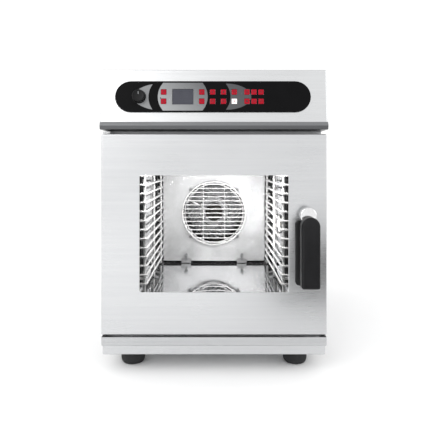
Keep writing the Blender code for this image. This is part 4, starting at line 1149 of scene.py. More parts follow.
for side, name in ((-1, "left_rack"), (1, "right_rack")):
    loop = [
        (END_BAR_X, RACK_FRONT), (RUNG_X, RACK_FRONT), (RUNG_X, RACK_REAR), (END_BAR_X, RACK_REAR)
    ]
    bent = rounded([(side * x, y, 0) for x, y in loop], 0.005, 4)
    wires = [wire(bent + (0, 0, height), 0.0030, (0, 0, 1)) for height in RUNG_HEIGHTS]
    for y in POST_DEPTHS:
        run = [(side * POST_X, y, z) for z in np.linspace(*POST_ENDS, 4)]
        wires.append(wire(run, 0.0035, (0, 1, 0)))
    for y in (POST_DEPTHS[0], POST_DEPTHS[-1]):
        for z in HOOK_HEIGHTS:
            hook = [(side * x, y, z) for x in np.linspace(POST_X, WALL_X, 3)]
            wires.append(wire(hook, 0.0040, (0, 0, 1)))
    piece(name + "_wires", wires, WIRE_STEEL, "oven_body", [name])
    strip_place = facing((side * CAVITY_HALF, 0, 0), (-side, 0, 0), (0, 0, 1))
    strip_right = strip_place[1][0][1]
    ends = sorted((strip_right * STRIP_ENDS[0], strip_right * STRIP_ENDS[1]))
    strip_low, strip_high = (ends[0], POST_ENDS[0] + 0.006), (ends[1], POST_ENDS[1] - 0.003)
    strip = stacked(strip_low, strip_high, 0.003, STRIP_LEVELS, strip_place)
    piece(name + "_wall_strip", [skin(strip)], BLACK_SILICONE_AND_PAINTED_SHADOW, "oven_body")

# ---- fan baffle -----------------------------------------------------------------------
# A pressed stainless sheet across the rear of the oven, with the fan's intake hole. Its
# lower part is creased forward, and two clips with thumb screws hold it at the floor.

BAFFLE_Y = 0.175
BAFFLE_HALF, BAFFLE_BOTTOM, BAFFLE_TOP = 0.172, 0.146, 0.502
FAN_Z = 0.310
INTAKE_RADIUS = 0.104
BAFFLE_RETURN = 0.018


def pressed_forward(points):
    """How far the press pushed the sheet out: the lower of two planes that rise from a
    level line and from a slanting line, plus a slight lean below the fan's axis."""
    x, z = abs(points[..., 0]), points[..., 1]
    slanted, level = 0.2339 - 0.553 * x - z, 0.9 * (0.215 - z)
    pressed = 0.040 * np.clip(np.minimum(slanted, level), 0, None)
    return pressed + 0.010 * np.clip(0.280 - z, 0, None)


def baffle_rings(offset, steps=14):
    """Rings from the round hole out to the edge: each point is blended between the hole's
    circle and the sheet's outline at the same angle."""
    outline = even_outline((-BAFFLE_HALF, BAFFLE_BOTTOM), (BAFFLE_HALF, BAFFLE_TOP), 0.0012, 176)
    angle = np.arctan2(outline[:, 1] - FAN_Z, outline[:, 0])
    hole = np.stack([np.cos(angle), np.sin(angle)], -1) * INTAKE_RADIUS + (0, FAN_Z)
    share = np.linspace(0, 1, steps + 1)[:, None, None]
    flat = hole + share * (outline - hole)
    height = pressed_forward(flat) + offset
    return np.concatenate([flat, height[..., None]], -1)


face_rings, rear_rings = baffle_rings(0.0), baffle_rings(-SHEET)
BAFFLE_PLACE = facing((0, BAFFLE_Y, 0), (0, -1, 0))
rings = placed(np.concatenate([face_rings, rear_rings[::-1]]), BAFFLE_PLACE)
sheet = skin(rings, round_trip=True)
lip_profile = [
    (INTAKE_RADIUS, 0.0), (INTAKE_RADIUS - 0.0012, -0.0010), (INTAKE_RADIUS - 0.0014, -0.0070)
]
lip_profile += [(INTAKE_RADIUS + 0.0002, -0.0070), (INTAKE_RADIUS + 0.0010, -0.0012)]
fan_place = facing((0, BAFFLE_Y, FAN_Z), (0, -1, 0))
intake_lip = turned(lip_profile, fan_place, 96, round_trip=True)
returns = []
upward = facing((0, 0, 0), (0, 0, 1), (0, 1, 0))
for side in (-1, 1):
    edge = side * (BAFFLE_HALF - SHEET / 2)
    path = [
        (edge - side * 0.004, BAFFLE_Y + SHEET * 1.6), (edge, BAFFLE_Y + SHEET * 1.6),
        (edge, BAFFLE_Y + BAFFLE_RETURN),
    ]
    returns.append(
        carried(folded(path, 0.0012, SHEET), BAFFLE_BOTTOM + 0.001, BAFFLE_TOP - 0.001, upward)
    )
BAFFLE_STEEL = bright_rolled_stainless(
    "pressed_baffle_stainless", "#d3d4d5", "#ececec", (0.16, 0.26), 0.15
)
piece(
    "fan_baffle_sheet", [sheet, intake_lip, *returns], BAFFLE_STEEL, "oven_body",
    ["fan_baffle"],
)

clips, knobs = [], []
for x in (-0.095, 0.095):
    clip_low, clip_high = (x - 0.017, CAVITY_FLOOR + 0.0003), (x + 0.017, BAFFLE_BOTTOM + 0.008)
    clip_place = facing((0, BAFFLE_Y, 0), (0, -1, 0))
    clip_levels = eased_plate(0.0055, 0.0008) - (0, 0.0008)
    clips.append(skin(stacked(clip_low, clip_high, 0.002, clip_levels, clip_place)))
    stem = [(x, BAFFLE_Y - 0.004, z) for z in (0.150, 0.156, 0.163)]
    clips.append(wire(stem, 0.0022, (0, 1, 0)))
    knob_profile = [
        (0, 0.0150), (0.0038, 0.0150), (0.0052, 0.0138), (0.0052, 0.0065), (0.0030, 0.0055),
        (0.0030, -0.001), (0, -0.001),
    ]
    knobs.append(turned(knob_profile, facing((x, BAFFLE_Y, 0.1665), (0, -1, 0)), 24))
# Painted shadow: a near-black strip fills the gap between the baffle's lower edge and the floor.
foot_low, foot_high = (-BAFFLE_HALF, CAVITY_FLOOR + 0.0003), (BAFFLE_HALF, BAFFLE_BOTTOM - 0.0002)
foot_place = facing((0, BAFFLE_Y + 0.0040, 0), (0, -1, 0))
gap_shadow_strip = stacked(foot_low, foot_high, 0.0010, eased_plate(0.0030, 0.0004), foot_place)
piece("baffle_gap_painted_shadow", [skin(gap_shadow_strip)], BLACK_SILICONE_AND_PAINTED_SHADOW, "oven_body")
piece("baffle_clips", clips, HARDWARE, "oven_body")
piece("baffle_thumb_screws", knobs, HARDWARE, "oven_body")

# ---- fan guard ------------------------------------------------------------------------
# A round guard of stainless wire: a heavy outer ring and a light inner one, fifteen level
# wires and two uprights welded behind them, on four spacers screwed to the baffle.

GUARD_Y = 0.1585
GUARD_RADIUS = 0.1066
GUARD_PITCH = 0.0140


def wire_ring(radius, y, thickness, count=96):
    """A closed ring of wire: (radius + thickness cos b) round the fan's axis, and
    thickness sin b along it."""
    around = np.linspace(0, 2 * np.pi, count, endpoint=False)[:, None]
    across = np.linspace(0, 2 * np.pi, 10, endpoint=False)
    reach = radius + thickness * np.cos(across)
    y_rows = np.broadcast_to(y + thickness * np.sin(across), (count, 10))
    rings = np.stack([reach * np.cos(around), y_rows, FAN_Z + reach * np.sin(around)], -1)
    return skin(rings, round_trip=True)


guard = [wire_ring(GUARD_RADIUS, GUARD_Y, 0.0025), wire_ring(0.0985, GUARD_Y + 0.0005, 0.0014)]
for rise in GUARD_PITCH * np.arange(-7, 8):
    reach = math.sqrt(GUARD_RADIUS**2 - rise**2)
    run = [(x, GUARD_Y, FAN_Z + rise) for x in np.linspace(-reach, reach, 4)]
    guard.append(wire(run, 0.0021, (0, 0, 1), 8))
for x in (-0.036, 0.036):
    reach = math.sqrt(GUARD_RADIUS**2 - x**2)
    run = [(x, GUARD_Y + 0.0026, z) for z in np.linspace(FAN_Z - reach, FAN_Z + reach, 4)]
    guard.append(wire(run, 0.0015, (0, 1, 0), 8))
lugs = []
for x in (-0.0795, 0.0795):
    for z in (-0.0795, 0.0795):
        spacer = [(0, 0.0045), (0.0032, 0.0045), (0.0050, 0.0030), (0.0050, -0.0155), (0, -0.0155)]
        lugs.append(turned(spacer, facing((x, GUARD_Y - 0.002, FAN_Z + z), (0, -1, 0)), 20))
piece("fan_guard_wires", guard, WIRE_STEEL, "oven_body", ["fan_guard"])
piece("fan_guard_spacers", lugs, HARDWARE, "oven_body")

# ---- fan wheel ------------------------------------------------------------------------
# A radial wheel pressed from stainless: a back plate, twenty-eight blades folded up round
# its edge, and a dark hub clamped by a nose nut on the motor's shaft.

PLATE_Y, WHEEL_FRONT_Y, SHAFT_END_Y = 0.255, 0.190, 0.305
WHEEL_RADIUS = 0.092
wheel_place = facing((0, PLATE_Y, FAN_Z), (0, -1, 0))
reach = PLATE_Y - WHEEL_FRONT_Y
plate_profile = [
    (0, 0.004), (0.0515, 0.004), (0.0560, 0.0035), (0.0905, 0.0018), (WHEEL_RADIUS, 0.0008),
    (WHEEL_RADIUS, -0.0006), (0.0900, -0.0012), (0, -0.0012),
]
hub_profile = [
    (0, reach + 0.014), (0.0085, reach + 0.014), (0.0105, reach + 0.012), (0.0110, reach),
    (0.0270, reach), (0.0298, reach - 0.002), (0.0300, reach - 0.012),
    (0.0220, reach - 0.020), (0.0220, 0.0035), (0, 0.0035),
]
shaft_profile = [
    (0, 0), (0.0070, 0), (0.0070, -(SHAFT_END_Y - PLATE_Y) + 0.001),
    (0.0060, -(SHAFT_END_Y - PLATE_Y)), (0, -(SHAFT_END_Y - PLATE_Y)),
]
blades = []
for angle in np.linspace(0, 2 * np.pi, 28, endpoint=False):
    out_share = np.linspace(0, 1, 7)
    radius = 0.060 + 0.0305 * out_share
    sweep = angle + 0.42 * out_share**1.3
    line = np.stack([radius * np.cos(sweep), radius * np.sin(sweep)], -1)
    blades.append(carried(stroke(line, 0.0011), 0.0010, reach, wheel_place))
WHEEL_STEEL = bright_rolled_stainless(
    "pressed_wheel_stainless", "#b4b5b7", "#dcdcdd", (0.18, 0.32), 0.2, 0.9
)
piece(
    "fan_wheel_blades",
    [turned(plate_profile, wheel_place, 72), turned(shaft_profile, wheel_place, 24), *blades],
    WHEEL_STEEL, "fan", ["fan_wheel"],
)

# Machined steel, brown-black in clouds of 9 mm, half dull, half bright. The element's
# sheath has gone this dark in the heat; the wheel's hub and dish ring are as dark.
DARK_STEEL = mottled(
    "dark_machined_steel", {"Metallic": 0.85}, ("#2b2927", "#5a5755"), (0.30, 0.60), 9,
    detail=5.0, relief=(0.1, 0.0002),
)
# A thin dark ring round the rim of the wheel's hub dish, and a dark hub in its middle.
ring_profile = [(0.0520, 0.004), (0.0522, 0.0070), (0.0552, 0.0070), (0.0556, 0.003)]
dish_dark_ring = turned(ring_profile, wheel_place, 72, round_trip=True)
piece("fan_wheel_dish_dark_ring", [dish_dark_ring], DARK_STEEL, "fan")
piece("fan_hub", [turned(hub_profile, wheel_place, 48)], DARK_STEEL, "fan")

# ---- heating element ------------------------------------------------------------------
# A sheathed element coiled nearly twice round the wheel, its tails through the rear wall.
# The nickel steel sheath has gone dark and matt.

first_y, last_y, rear_y = 0.205, 0.237, 0.2865
angle = np.radians(np.linspace(60, 700, 120))
share = np.linspace(0, 1, len(angle))
coil = np.stack(
    [0.118 * np.cos(angle), first_y + (last_y - first_y) * share, FAN_Z + 0.118 * np.sin(angle)], -1
)


def tail(angle_degrees, radius, y_from):
    """A straight end of the element, parallel to the axis: radius (cos, sin) round it."""
    x, z = arc_points((0, FAN_Z), radius, angle_degrees, angle_degrees, 0)[0]
    return [(x, y_from, z), (x, rear_y, z)]


entry = np.array(tail(40, 0.134, first_y + 0.004)[::-1])
leaving = np.array(tail(-20, 0.118, last_y)[1:])
corner_in = rounded(np.concatenate([entry, coil[:1], coil[1:2]]), (0.005, 0.010), 4)[:-1]
corner_out = rounded(np.concatenate([coil[-2:], leaving]), 0.007, 4)[1:]
element_path = np.concatenate([corner_in, coil[2:-2], corner_out])
spoke = element_path - (0, 0, FAN_Z)
spoke[:, 1] = 0
piece(
    "heating_element_sheath", [wire(element_path, 0.0043, spoke)], DARK_STEEL, "oven_body",
    ["heating_element"],
)

# ---- steam injector -------------------------------------------------------------------
# A 6 mm stainless pipe that comes through the rear wall, turns in front of the wheel and
# drips water on its hub.

injector_rear, injector_corner = (-0.0884, 0.2865, 0.3552), (-0.0884, 0.179, 0.3552)
injector_nose = (-0.0268, 0.176, 0.3237)
injector_path = rounded([injector_rear, injector_corner, injector_nose], 0.010, 8)
direction = np.subtract(injector_nose, injector_corner)
injector_lean = np.cross(np.subtract(injector_rear, injector_corner), direction)
piece(
    "steam_injector_pipe", [wire(injector_path, 0.0030, injector_lean)], WIRE_STEEL, "oven_body",
    ["steam_injector"],
)

# ---- washing nozzle -------------------------------------------------------------------
# A stainless washer, hexagon nut and neck under the ceiling, and an egg-shaped head that
# the washing water spins. Both are turned and polished.


def hexagon_nut(radius, levels, place):
    """A hexagon carried along its axis: at each (share, height) of its levels it is drawn
    at that share of its radius, so that its first and last levels chamfer it."""
    hexagon = arc_points((0, 0), radius, 0, 300, 5)
    rings = [np.column_stack([hexagon * share, np.full(6, height)]) for share, height in levels]
    return skin(placed(np.array(rings), place))


# Stainless turned on a lathe and polished: a mirror, dulled a little here and there by
# water marks of 6 mm.
TURNED_STEEL = mottled(
    "polished_turned_stainless", {"Metallic": 1.0}, ("#cfcfd0", "#f2f2f2"), (0.06, 0.20), 6,
    detail=4.0, relief=(0.05, 0.0002),
)
NOZZLE_Y = -0.085
ceiling = CAVITY_CEILING - 0.0003
nozzle_place = facing((0, NOZZLE_Y, ceiling), (0, 0, -1), (0, 1, 0))
washer = turned(
    [(0, 0), (0.0212, 0), (0.0220, 0.0008), (0.0220, 0.0022), (0.0212, 0.0030), (0, 0.0030)],
    nozzle_place, 48,
)
nut_levels = [(0.90, 0.0030), (1.0, 0.0042), (1.0, 0.0118), (0.90, 0.0130)]
nut = hexagon_nut(0.0132, nut_levels, nozzle_place)
neck = turned(
    [
        (0, 0.0128), (0.0085, 0.0128), (0.0085, 0.0150), (0.0070, 0.0162), (0.0070, 0.0195),
        (0.0075, 0.0210), (0, 0.0210),
    ],
    nozzle_place,
    36,
)
piece(
    "wash_nozzle_fitting", [washer, nut, neck], TURNED_STEEL,
    "oven_body", ["wash_nozzle_mount"],
)
head_top, head_bottom = ceiling - 0.0213, 0.450
middle, half = (head_top + head_bottom) / 2, (head_top - head_bottom) / 2
turn = np.linspace(0, np.pi, 25)
swell = 0.0150 * np.sin(turn) * (1 + 0.12 * np.cos(turn + 0.4))
collar = (turn > 0.52) & (turn < 0.72)
head_profile = np.stack([swell - 0.0006 * collar, middle + half * np.cos(turn)], -1)
head_profile[[0, -1], 0] = 0
head_place = facing((0, NOZZLE_Y, 0), (0, 0, 1), (0, 1, 0))
piece(
    "wash_spray_egg", [turned(head_profile, head_place, 48)], TURNED_STEEL, "spray_head",
    ["wash_spray_head"],
)

# ---- cavity lamp ----------------------------------------------------------------------
# A halogen lamp behind a domed glass in the right wall, held by a stainless ring with a
# silicone seal.

LAMP_Y, LAMP_Z = -0.055, 0.300
lamp_place = facing((CAVITY_HALF, LAMP_Y, LAMP_Z), (-1, 0, 0))
ring_profile = [(0.0225, 0.0003), (0.0280, 0.0003), (0.0280, 0.0022)]
ring_profile += [(0.0262, 0.0040), (0.0235, 0.0044), (0.0225, 0.0036)]
lamp_ring = turned(ring_profile, lamp_place, 64, round_trip=True)
piece("cavity_lamp_ring", [lamp_ring], HARDWARE, "oven_body")

# Pressed borosilicate glass, frosted inside: milky white when lit, with a soft gloss.
LAMP_GLASS = mottled(
    "frosted_borosilicate_lamp_glass",
    {"IOR": 1.47, "Emission Color": tone("#fff8ee"), "Emission Strength": 2.2},
    ("#e4e4e0", "#f6f6f2"), (0.15, 0.3), 1.5,
)

lamp_profile = [
    (0, 0.0060), (0.0100, 0.0056), (0.0170, 0.0046), (0.0222, 0.0030), (0.0222, -0.0300),
    (0, -0.0300),
]
piece(
    "cavity_lamp_glass", [turned(lamp_profile, lamp_place, 48)], LAMP_GLASS, "oven_body",
    ["cavity_lamp"],
)

# ---- door gasket ----------------------------------------------------------------------
# A black silicone seal with a hollow lip, pushed on round the mouth. The closed door's
# inner glass presses on it.

low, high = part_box("door_gasket")
seal_front, seal_back = DOOR_FACE_Y - low.y, DOOR_FACE_Y - high.y
outer_seal = quarter(0.0030, seal_front - 0.0030, 0.0030, 90, 180, 4)
outer_seal = np.concatenate([outer_seal, [(0.0, seal_back + 0.0010), (0.0006, seal_back)]])
inner_seal = outer_seal[::-1] * (-1, 1)
rings = np.concatenate(
    [
        stacked((low.x, low.z), (high.x, high.z), 0.016, outer_seal, FRONT),
        stacked((-0.180, 0.138), (0.180, 0.510), 0.010, inner_seal, FRONT),
    ]
)
SEAL_RUBBER = moulded_rubber("extruded_silicone_seal", "#1d1d1f", "#303031")
piece(
    "door_gasket_seal", [skin(rings, round_trip=True)], SEAL_RUBBER, "oven_body",
    ["door_gasket"],
)

# ---- hinges and strike ----------------------------------------------------------------
# Two bright stainless brackets with pressed pins carry the door on its left. The strike
# on the right is milled from bar.

brackets = ["hinge_bracket_top", "hinge_bracket_bottom"]
finished([*brackets, "latch_strike", "latch_spindle"], HARDWARE)

# ---- door skin ------------------------------------------------------------------------
# One brushed stainless sheet folded back on four sides to a 2 mm radius, with the window
# punched out of its face and its edge rolled in over the glass.

DOOR_LOW, DOOR_HIGH = (-0.255, 0.0900), (0.255, 0.5435)
WINDOW_LOW, WINDOW_HIGH = (-0.168, 0.186), (0.168, 0.450)
SKIN_SHEET = 0.0010
SKIN_FOLD = 0.0022
SKIN_RETURN = 0.030
outside = np.concatenate(
    [
        [(SKIN_SHEET, -SKIN_RETURN), (0, -SKIN_RETURN)],
        quarter(SKIN_FOLD, -SKIN_FOLD, SKIN_FOLD, 180, 90, 5), [(SKIN_FOLD + 0.001, 0)],
    ]
)
window_edge = [
    (-0.0016, 0), (-0.0008, -0.0001), (-0.0002, -0.0004), (0, -0.0009), (-0.0004, -SKIN_SHEET)
]
window_edge += [(-0.0020, -SKIN_SHEET)]
inside = np.concatenate(
    [
        [(SKIN_FOLD + 0.001, -SKIN_SHEET)],
        quarter(SKIN_FOLD, -SKIN_FOLD, SKIN_FOLD - SKIN_SHEET, 90, 180, 5),
    ]
)
rings = np.concatenate(
    [
        stacked(DOOR_LOW, DOOR_HIGH, 0.0030, outside, FRONT),
        stacked(WINDOW_LOW, WINDOW_HIGH, 0.0030, window_edge, FRONT),
        stacked(DOOR_LOW, DOOR_HIGH, 0.0030, inside, FRONT),
    ]
)
DOOR_STEEL = brushed_stainless(
    "belt_brushed_door_stainless", "X", "#c6c7c9", "#cecfd0", (0.26, 0.36)
)
piece(
    "door_skin_sheet", [skin(rings, round_trip=True)], DOOR_STEEL, "door", ["door_skin"],
)

# ---- door frame -----------------------------------------------------------------------
# A channel of 1.5 mm stainless round the door behind the glass: it stiffens the skin and
# holds the inner glass.

low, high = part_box("door_inner_frame")
LIGHT_LOW, LIGHT_HIGH = (-0.178, 0.168), (0.178, 0.468)
wall = 0.0015
frame_front, frame_back = DOOR_FACE_Y - low.y, DOOR_FACE_Y - high.y
outer_wall = [
    (0, frame_front), (0, frame_back + 0.002), (0.0006, frame_back + 0.0006), (0.002, frame_back)
]
light_wall = [
    (-0.002, frame_back), (-0.0006, frame_back + 0.0006), (0, frame_back + 0.002), (0, frame_front)
]
light_inside = [
    (-wall, frame_front), (-wall, frame_back + wall + 0.001), (-wall - 0.001, frame_back + wall)
]
outer_inside = [
    (wall + 0.001, frame_back + wall), (wall, frame_back + wall + 0.001), (wall, frame_front)
]
rings = np.concatenate(
    [
        stacked((low.x, low.z), (high.x, high.z), 0.002, outer_wall, FRONT),
        stacked(LIGHT_LOW, LIGHT_HIGH, 0.004, light_wall, FRONT),
        stacked(LIGHT_LOW, LIGHT_HIGH, 0.004, light_inside, FRONT),
        stacked((low.x, low.z), (high.x, high.z), 0.002, outer_inside, FRONT),
    ]
)
piece(
    "door_inner_channel", [skin(rings, round_trip=True)], FRAME_STEEL, "door",
    ["door_inner_frame"],
)

# ---- door glass -----------------------------------------------------------------------
# Two 4 mm panes of tempered soda-lime glass with ground edges. The outer one is glued
# behind the skin, and the inner one is held by the channel.


def tempered_glass():
    """Tempered float glass: clear, with a faint green cast. It passes nearly all the light
    straight on, and mirrors more of the room the more it is seen at a slant."""
    material, tree = new_finish("tempered_soda_lime_glass", {"IOR": 1.52})
    where = add(tree, "ShaderNodeTexCoord", {}).outputs["Object"]
    smear = add(tree, "ShaderNodeTexNoise", {"Vector": where, "Scale": repeats(90), "Detail": 3.0})
    slant = add(tree, "ShaderNodeFresnel", {"IOR": 1.52})
    solid = add(
        tree,
        "ShaderNodeMapRange",
        {"Value": slant.outputs["Fac"], "To Min": 0.0, "To Max": 0.45},
    )
    tree.links.new(solid.outputs["Result"], tree.nodes["Principled BSDF"].inputs["Alpha"])
    return coated(material, ("#0b0f0e", "#161c1a"), (0.01, 0.05), smear.outputs["Fac"])


DOOR_GLASS = tempered_glass()
for name in ("door_outer_glass", "door_inner_glass"):
    low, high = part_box(name)
    pane_place = facing((0, high.y, 0), (0, -1, 0))
    pane = stacked(
        (low.x, low.z), (high.x, high.z), 0.005, eased_plate(high.y - low.y, 0.0006), pane_place
    )
    piece(name + "_pane", [skin(pane)], DOOR_GLASS, "door", [name])

# ---- handle ---------------------------------------------------------------------------
# A back plate of black glass-filled nylon screwed to the door, a polished steel hub on
# the spindle, and a black grip with a round head that turns with it.

HANDLE_BLACK = moulded_black_plastic(
    "moulded_nylon_handle_black", "#121213", "#1c1c1e", (0.30, 0.42)
)
PLATE_BLACK = moulded_black_plastic("moulded_nylon_plate_black", "#161617", "#202021", (0.38, 0.52))

plate_levels = np.concatenate(
    [
        [(0.001, 0.0003), (0, 0.0006), (0, 0.0070)],
        quarter(0.0030, 0.0070, 0.0030, 180, 90, 4), [(0.006, 0.0100)],
    ]
)
plate = stacked((0.1827, 0.2030), (0.2280, 0.3485), 0.0085, plate_levels, FRONT, 8)
piece(
    "handle_back_plate", [skin(plate)], PLATE_BLACK, "door", ["handle_backplate"],
)

HANDLE_X, HANDLE_Z = 0.207, 0.362  # the spindle's axis
hub_place = facing((HANDLE_X, DOOR_FACE_Y, HANDLE_Z), (0, -1, 0))
hub_radius = 0.0183
hub_profile = np.concatenate(
    [
        [(0, 0.0352), (0.010, 0.0351)],
        quarter(hub_radius - 0.0024, 0.0326, 0.0024, 90, 0, 5),
        [(hub_radius, 0.0216), (hub_radius - 0.0006, 0.0205), (hub_radius - 0.0020, 0.0200)],
        [(0.0118, 0.0200), (0.0110, 0.0190), (0.0110, 0.0015), (0.0120, 0.0003), (0, 0.0003)],
    ]
)
piece(
    "handle_hub_disc", [turned(hub_profile, hub_place, 72)], TURNED_STEEL, "handle",
    ["handle_hub"],
)

GRIP_X = HANDLE_X + 0.0008
GRIP_HALF = 0.0202
GRIP_TOP, GRIP_BOTTOM = 0.3607, 0.2066
GRIP_FRONT, GRIP_BACK = 0.0600, 0.0353


def grip_outline(inset, corner=0.0052, steps=10):
    """The grip's outline drawn in by an inset: half a circle over two small corners."""
    head = (GRIP_X, GRIP_TOP - GRIP_HALF)
    foot = GRIP_BOTTOM + corner
    reach = max(corner - inset, 0.0003)
    left, right = GRIP_X - GRIP_HALF + corner, GRIP_X + GRIP_HALF - corner
    return np.concatenate(
        [
            arc_points(head, GRIP_HALF - inset, 0, 180, 4 * steps),
            arc_points((left, foot), reach, 180, 270, steps),
            arc_points((right, foot), reach, 270, 360, steps),
        ]
    )


def grip_shell(levels):
    """The grip's outline at each (inset, height) of its levels, out from the door's face."""
    outlines = [(grip_outline(inset), height) for inset, height in levels]
    rings = [np.column_stack([flat, np.full(len(flat), height)]) for flat, height in outlines]
    return skin(placed(np.array(rings), FRONT))


grip_levels = np.concatenate(
    [
        [(0.0060, GRIP_BACK)], quarter(0.0022, GRIP_BACK + 0.0022, 0.0022, 270, 180, 4),
        quarter(0.0048, GRIP_FRONT - 0.0052, 0.0048, 180, 100, 6),
        [(0.0080, GRIP_FRONT - 0.0002), (0.0130, GRIP_FRONT)],
    ]
)
piece(
    "handle_grip", [grip_shell(grip_levels)], HANDLE_BLACK, "handle", ["handle_lever"],
)

# ---- rear fittings --------------------------------------------------------------------
# The cast housing of the fan's motor, and what comes out through the rear cover: the
# vent's stainless pipe, the black drain hose, the brass water inlet and the nylon cable
# gland, each held there by a nut or a weld.

# Brass turned from bar: warm yellow, bright on the threads and browned in patches.
BRASS = mottled(
    "machined_brass", {"Metallic": 1.0}, ("#a4823f", "#d9bb73"), (0.2, 0.42), 8, detail=4.0,
)

# Sand-cast aluminium: light grey and dull, with a coarse skin of 1 mm grains.
CAST_ALUMINIUM = mottled(
    "sand_cast_aluminium", {"Metallic": 1.0}, ("#8f9192", "#b9babb"), (0.4, 0.6), 1, detail=3.0,
    relief=(0.3, 0.0004),
)

finished(["fan_motor"], CAST_ALUMINIUM)

REAR_Y = 0.415
PIPE_END = 0.445


def open_pipe(points, radius, bore, lean, sides=40):
    """A pipe whose far end is open: the wall's rings follow the path out, turn in over
    the rim, and go back down the bore to a closed end."""
    path = np.asarray(points, float)
    run = np.gradient(path, axis=0)
    run /= np.linalg.norm(run, axis=1, keepdims=True)
    mouth, along = path[-1], run[-1]
    inner = np.array([mouth, mouth - 0.002 * along, mouth - 0.040 * along])
    centres = np.concatenate([path[:1], path, inner])
    rim = (radius - bore) * 0.3
    radii = np.concatenate([[radius * 0.5], np.full(len(path), radius), [bore + rim, bore, bore]])
    radii[len(path)] = radius
    runs = np.concatenate([run[:1], run, np.repeat(run[-1:], 3, 0)])
    side = np.cross(runs, lean)
    side /= np.linalg.norm(side, axis=1, keepdims=True)
    up = np.cross(side, runs)
    angle = np.linspace(0, 2 * np.pi, sides, endpoint=False)[:, None]
    spokes = np.cos(angle) * side[:, None] + np.sin(angle) * up[:, None]
    return skin(centres[:, None] + radii[:, None, None] * spokes)


vent_path = rounded(
    [(0.130, 0.215, 0.512), (0.130, 0.215, 0.600), (0.130, PIPE_END, 0.600)], 0.035, 10
)
piece(
    "vent_pipe_tube", [open_pipe(vent_path, 0.020, 0.0185, (1, 0, 0))], HARDWARE, "oven_body",
    ["vent_pipe"],
)
drain_path = rounded(
    [(0, DRAIN_Y, 0.1320), (0, DRAIN_Y, 0.100), (-0.130, 0.215, 0.100), (-0.130, PIPE_END, 0.100)],
    (0.024, 0.040), 10,
)
DRAIN_BLACK = moulded_black_plastic("extruded_polypropylene_black")
hose = open_pipe(drain_path, 0.017, 0.0150, (1, 0.3, 0))
piece("drain_pipe_tube", [hose], DRAIN_BLACK, "oven_body", ["drain_pipe"])

inlet_place = facing((0.150, REAR_Y, 0.110), (0, 1, 0))
thread = np.arange(12)
crest = np.stack([np.where(thread % 2 == 0, 0.0115, 0.0107), 0.0080 + 0.0018 * thread], -1)
inlet_profile = np.concatenate(
    [
        [(0, -0.0150), (0.0100, -0.0150), (0.0100, 0.0064)],
        crest,
        [
            (0.0104, 0.0296), (0.0096, 0.0300), (0.0078, 0.0300), (0.0074, 0.0290),
            (0.0074, 0.0060), (0, 0.0060),
        ],
    ]
)
nut_levels = [(0.90, 0.0003), (1.0, 0.0010), (1.0, 0.0055), (0.92, 0.0064)]
inlet = [turned(inlet_profile, inlet_place, 48), hexagon_nut(0.0160, nut_levels, inlet_place)]
piece("water_inlet_stub", inlet, BRASS, "oven_body", ["water_inlet"])

gland_place = facing((0.060, REAR_Y, 0.110), (0, 1, 0))
gland_profile = [
    (0, -0.0150), (0.0078, -0.0150), (0.0078, 0.0003), (0.0100, 0.0003), (0.0112, 0.0060),
    (0.0116, 0.0110), (0.0118, 0.0150), (0.0108, 0.0180), (0.0082, 0.0214), (0.0070, 0.0220),
    (0.0046, 0.0220), (0.0040, 0.0214), (0.0040, 0.0160), (0, 0.0160),
]
nut_levels = [(0.92, 0.0003), (1.0, 0.0010), (1.0, 0.0055), (0.92, 0.0062)]
gland = [turned(gland_profile, gland_place, 40), hexagon_nut(0.0120, nut_levels, gland_place)]
piece("cable_gland_body", gland, DRAIN_BLACK, "oven_body", ["cable_gland"])

# ---- studio ---------------------------------------------------------------------------
# A pale floor under a pale sky, a broad soft light from the front left and a weaker one
# from the right, three soft lamps inside the oven, a grey card that the door's steel
# mirrors, and a camera a little above the window.

# Matt painted board: nearly white, with the faint uneven sheen of a roller.
FLOOR_PAINT = mottled(
    "matt_painted_board", {"IOR": 1.45}, ("#fafafa", "#fefefe"), (0.75, 0.9), 300,
)

FLOOR_REACH = 14.0
ground = bpy.data.meshes.new("studio_floor")
floor_corners = [
    (x, y, 0) for y in (-FLOOR_REACH, FLOOR_REACH) for x in (-FLOOR_REACH, FLOOR_REACH)
]
ground.from_pydata(floor_corners, [], [(0, 1, 3, 2)])
ground.materials.append(FLOOR_PAINT)
floor = bpy.data.objects.new("studio_floor", ground)
bpy.context.scene.collection.objects.link(floor)


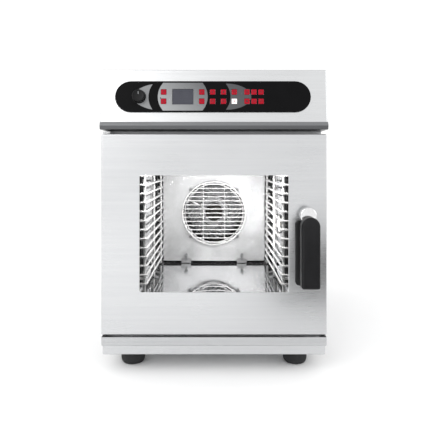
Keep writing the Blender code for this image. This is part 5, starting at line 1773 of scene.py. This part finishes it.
def soft_light(name, place, target, size, watts, seen_in_steel=True):
    """A rectangular soft box that points at a target."""
    lamp = bpy.data.lights.new(name, "AREA")
    lamp.shape = "RECTANGLE"
    lamp.size, lamp.size_y = size
    lamp.energy = watts
    obj = bpy.data.objects.new(name, lamp)
    obj.location = place
    aim = np.array(target, float) - np.array(place, float)
    obj.rotation_euler = (
        math.atan2(math.hypot(aim[0], aim[1]), -aim[2]), 0,
        math.atan2(aim[0], -aim[1]) + math.pi,
    )
    obj.visible_camera = False
    obj.visible_glossy = seen_in_steel
    bpy.context.scene.collection.objects.link(obj)
    return obj


soft_light("key_soft_box", (-1.9, -2.6, 1.9), (0, -0.3, 0.35), (2.6, 2.2), 44)
soft_light("fill_soft_box", (2.4, -2.0, 1.2), (0, -0.2, 0.35), (1.4, 1.6), 12)
soft_light("oven_lamp_top", (0.0, -0.27, 0.495), (0, 0.1, 0.28), (0.32, 0.08), 7.0, False)
soft_light("oven_lamp_right", (0.150, -0.10, 0.33), (-0.05, 0.17, 0.29), (0.05, 0.16), 2.0, False)
soft_light("oven_lamp_low", (0.0, -0.32, 0.170), (0, 0.17, 0.190), (0.20, 0.04), 0.02)

# A grey card to the right that only the steel's gloss sees, so that the door darkens there.
CARD_ENDS, CARD_Y, CARD_TOP = (0.20, 1.50), -0.95, 0.22
card = bpy.data.meshes.new("grey_card")
card_corners = [(x, CARD_Y, z) for z in (0, CARD_TOP) for x in CARD_ENDS]
card.from_pydata(card_corners, [], [(0, 1, 3, 2)])
card_board = {"Base Color": tone("#555555"), "Roughness": 0.9}
card.materials.append(new_finish("matt_grey_card_board", card_board)[0])
flag = bpy.data.objects.new("grey_card", card)
bpy.context.scene.collection.objects.link(flag)
flag.visible_camera = flag.visible_diffuse = flag.visible_shadow = flag.visible_transmission = False

sky = bpy.data.worlds.new("pale_studio")
bpy.context.scene.world = sky
sky.use_nodes = True
sky.node_tree.nodes["Background"].inputs["Color"].default_value = tone("#ffffff")
sky.node_tree.nodes["Background"].inputs["Strength"].default_value = 1.1
bpy.context.scene.view_settings.view_transform = "Standard"

camera_data = bpy.data.cameras.new("front_view")
camera_data.lens = 40.06
camera_data.shift_x = 0.0023
camera_data.shift_y = -0.1163
camera = bpy.data.objects.new("front_view", camera_data)
camera.location = (0, -1.465, 0.4734)
camera.rotation_euler = (math.pi / 2, 0, 0)
bpy.context.scene.collection.objects.link(camera)
bpy.context.scene.camera = camera
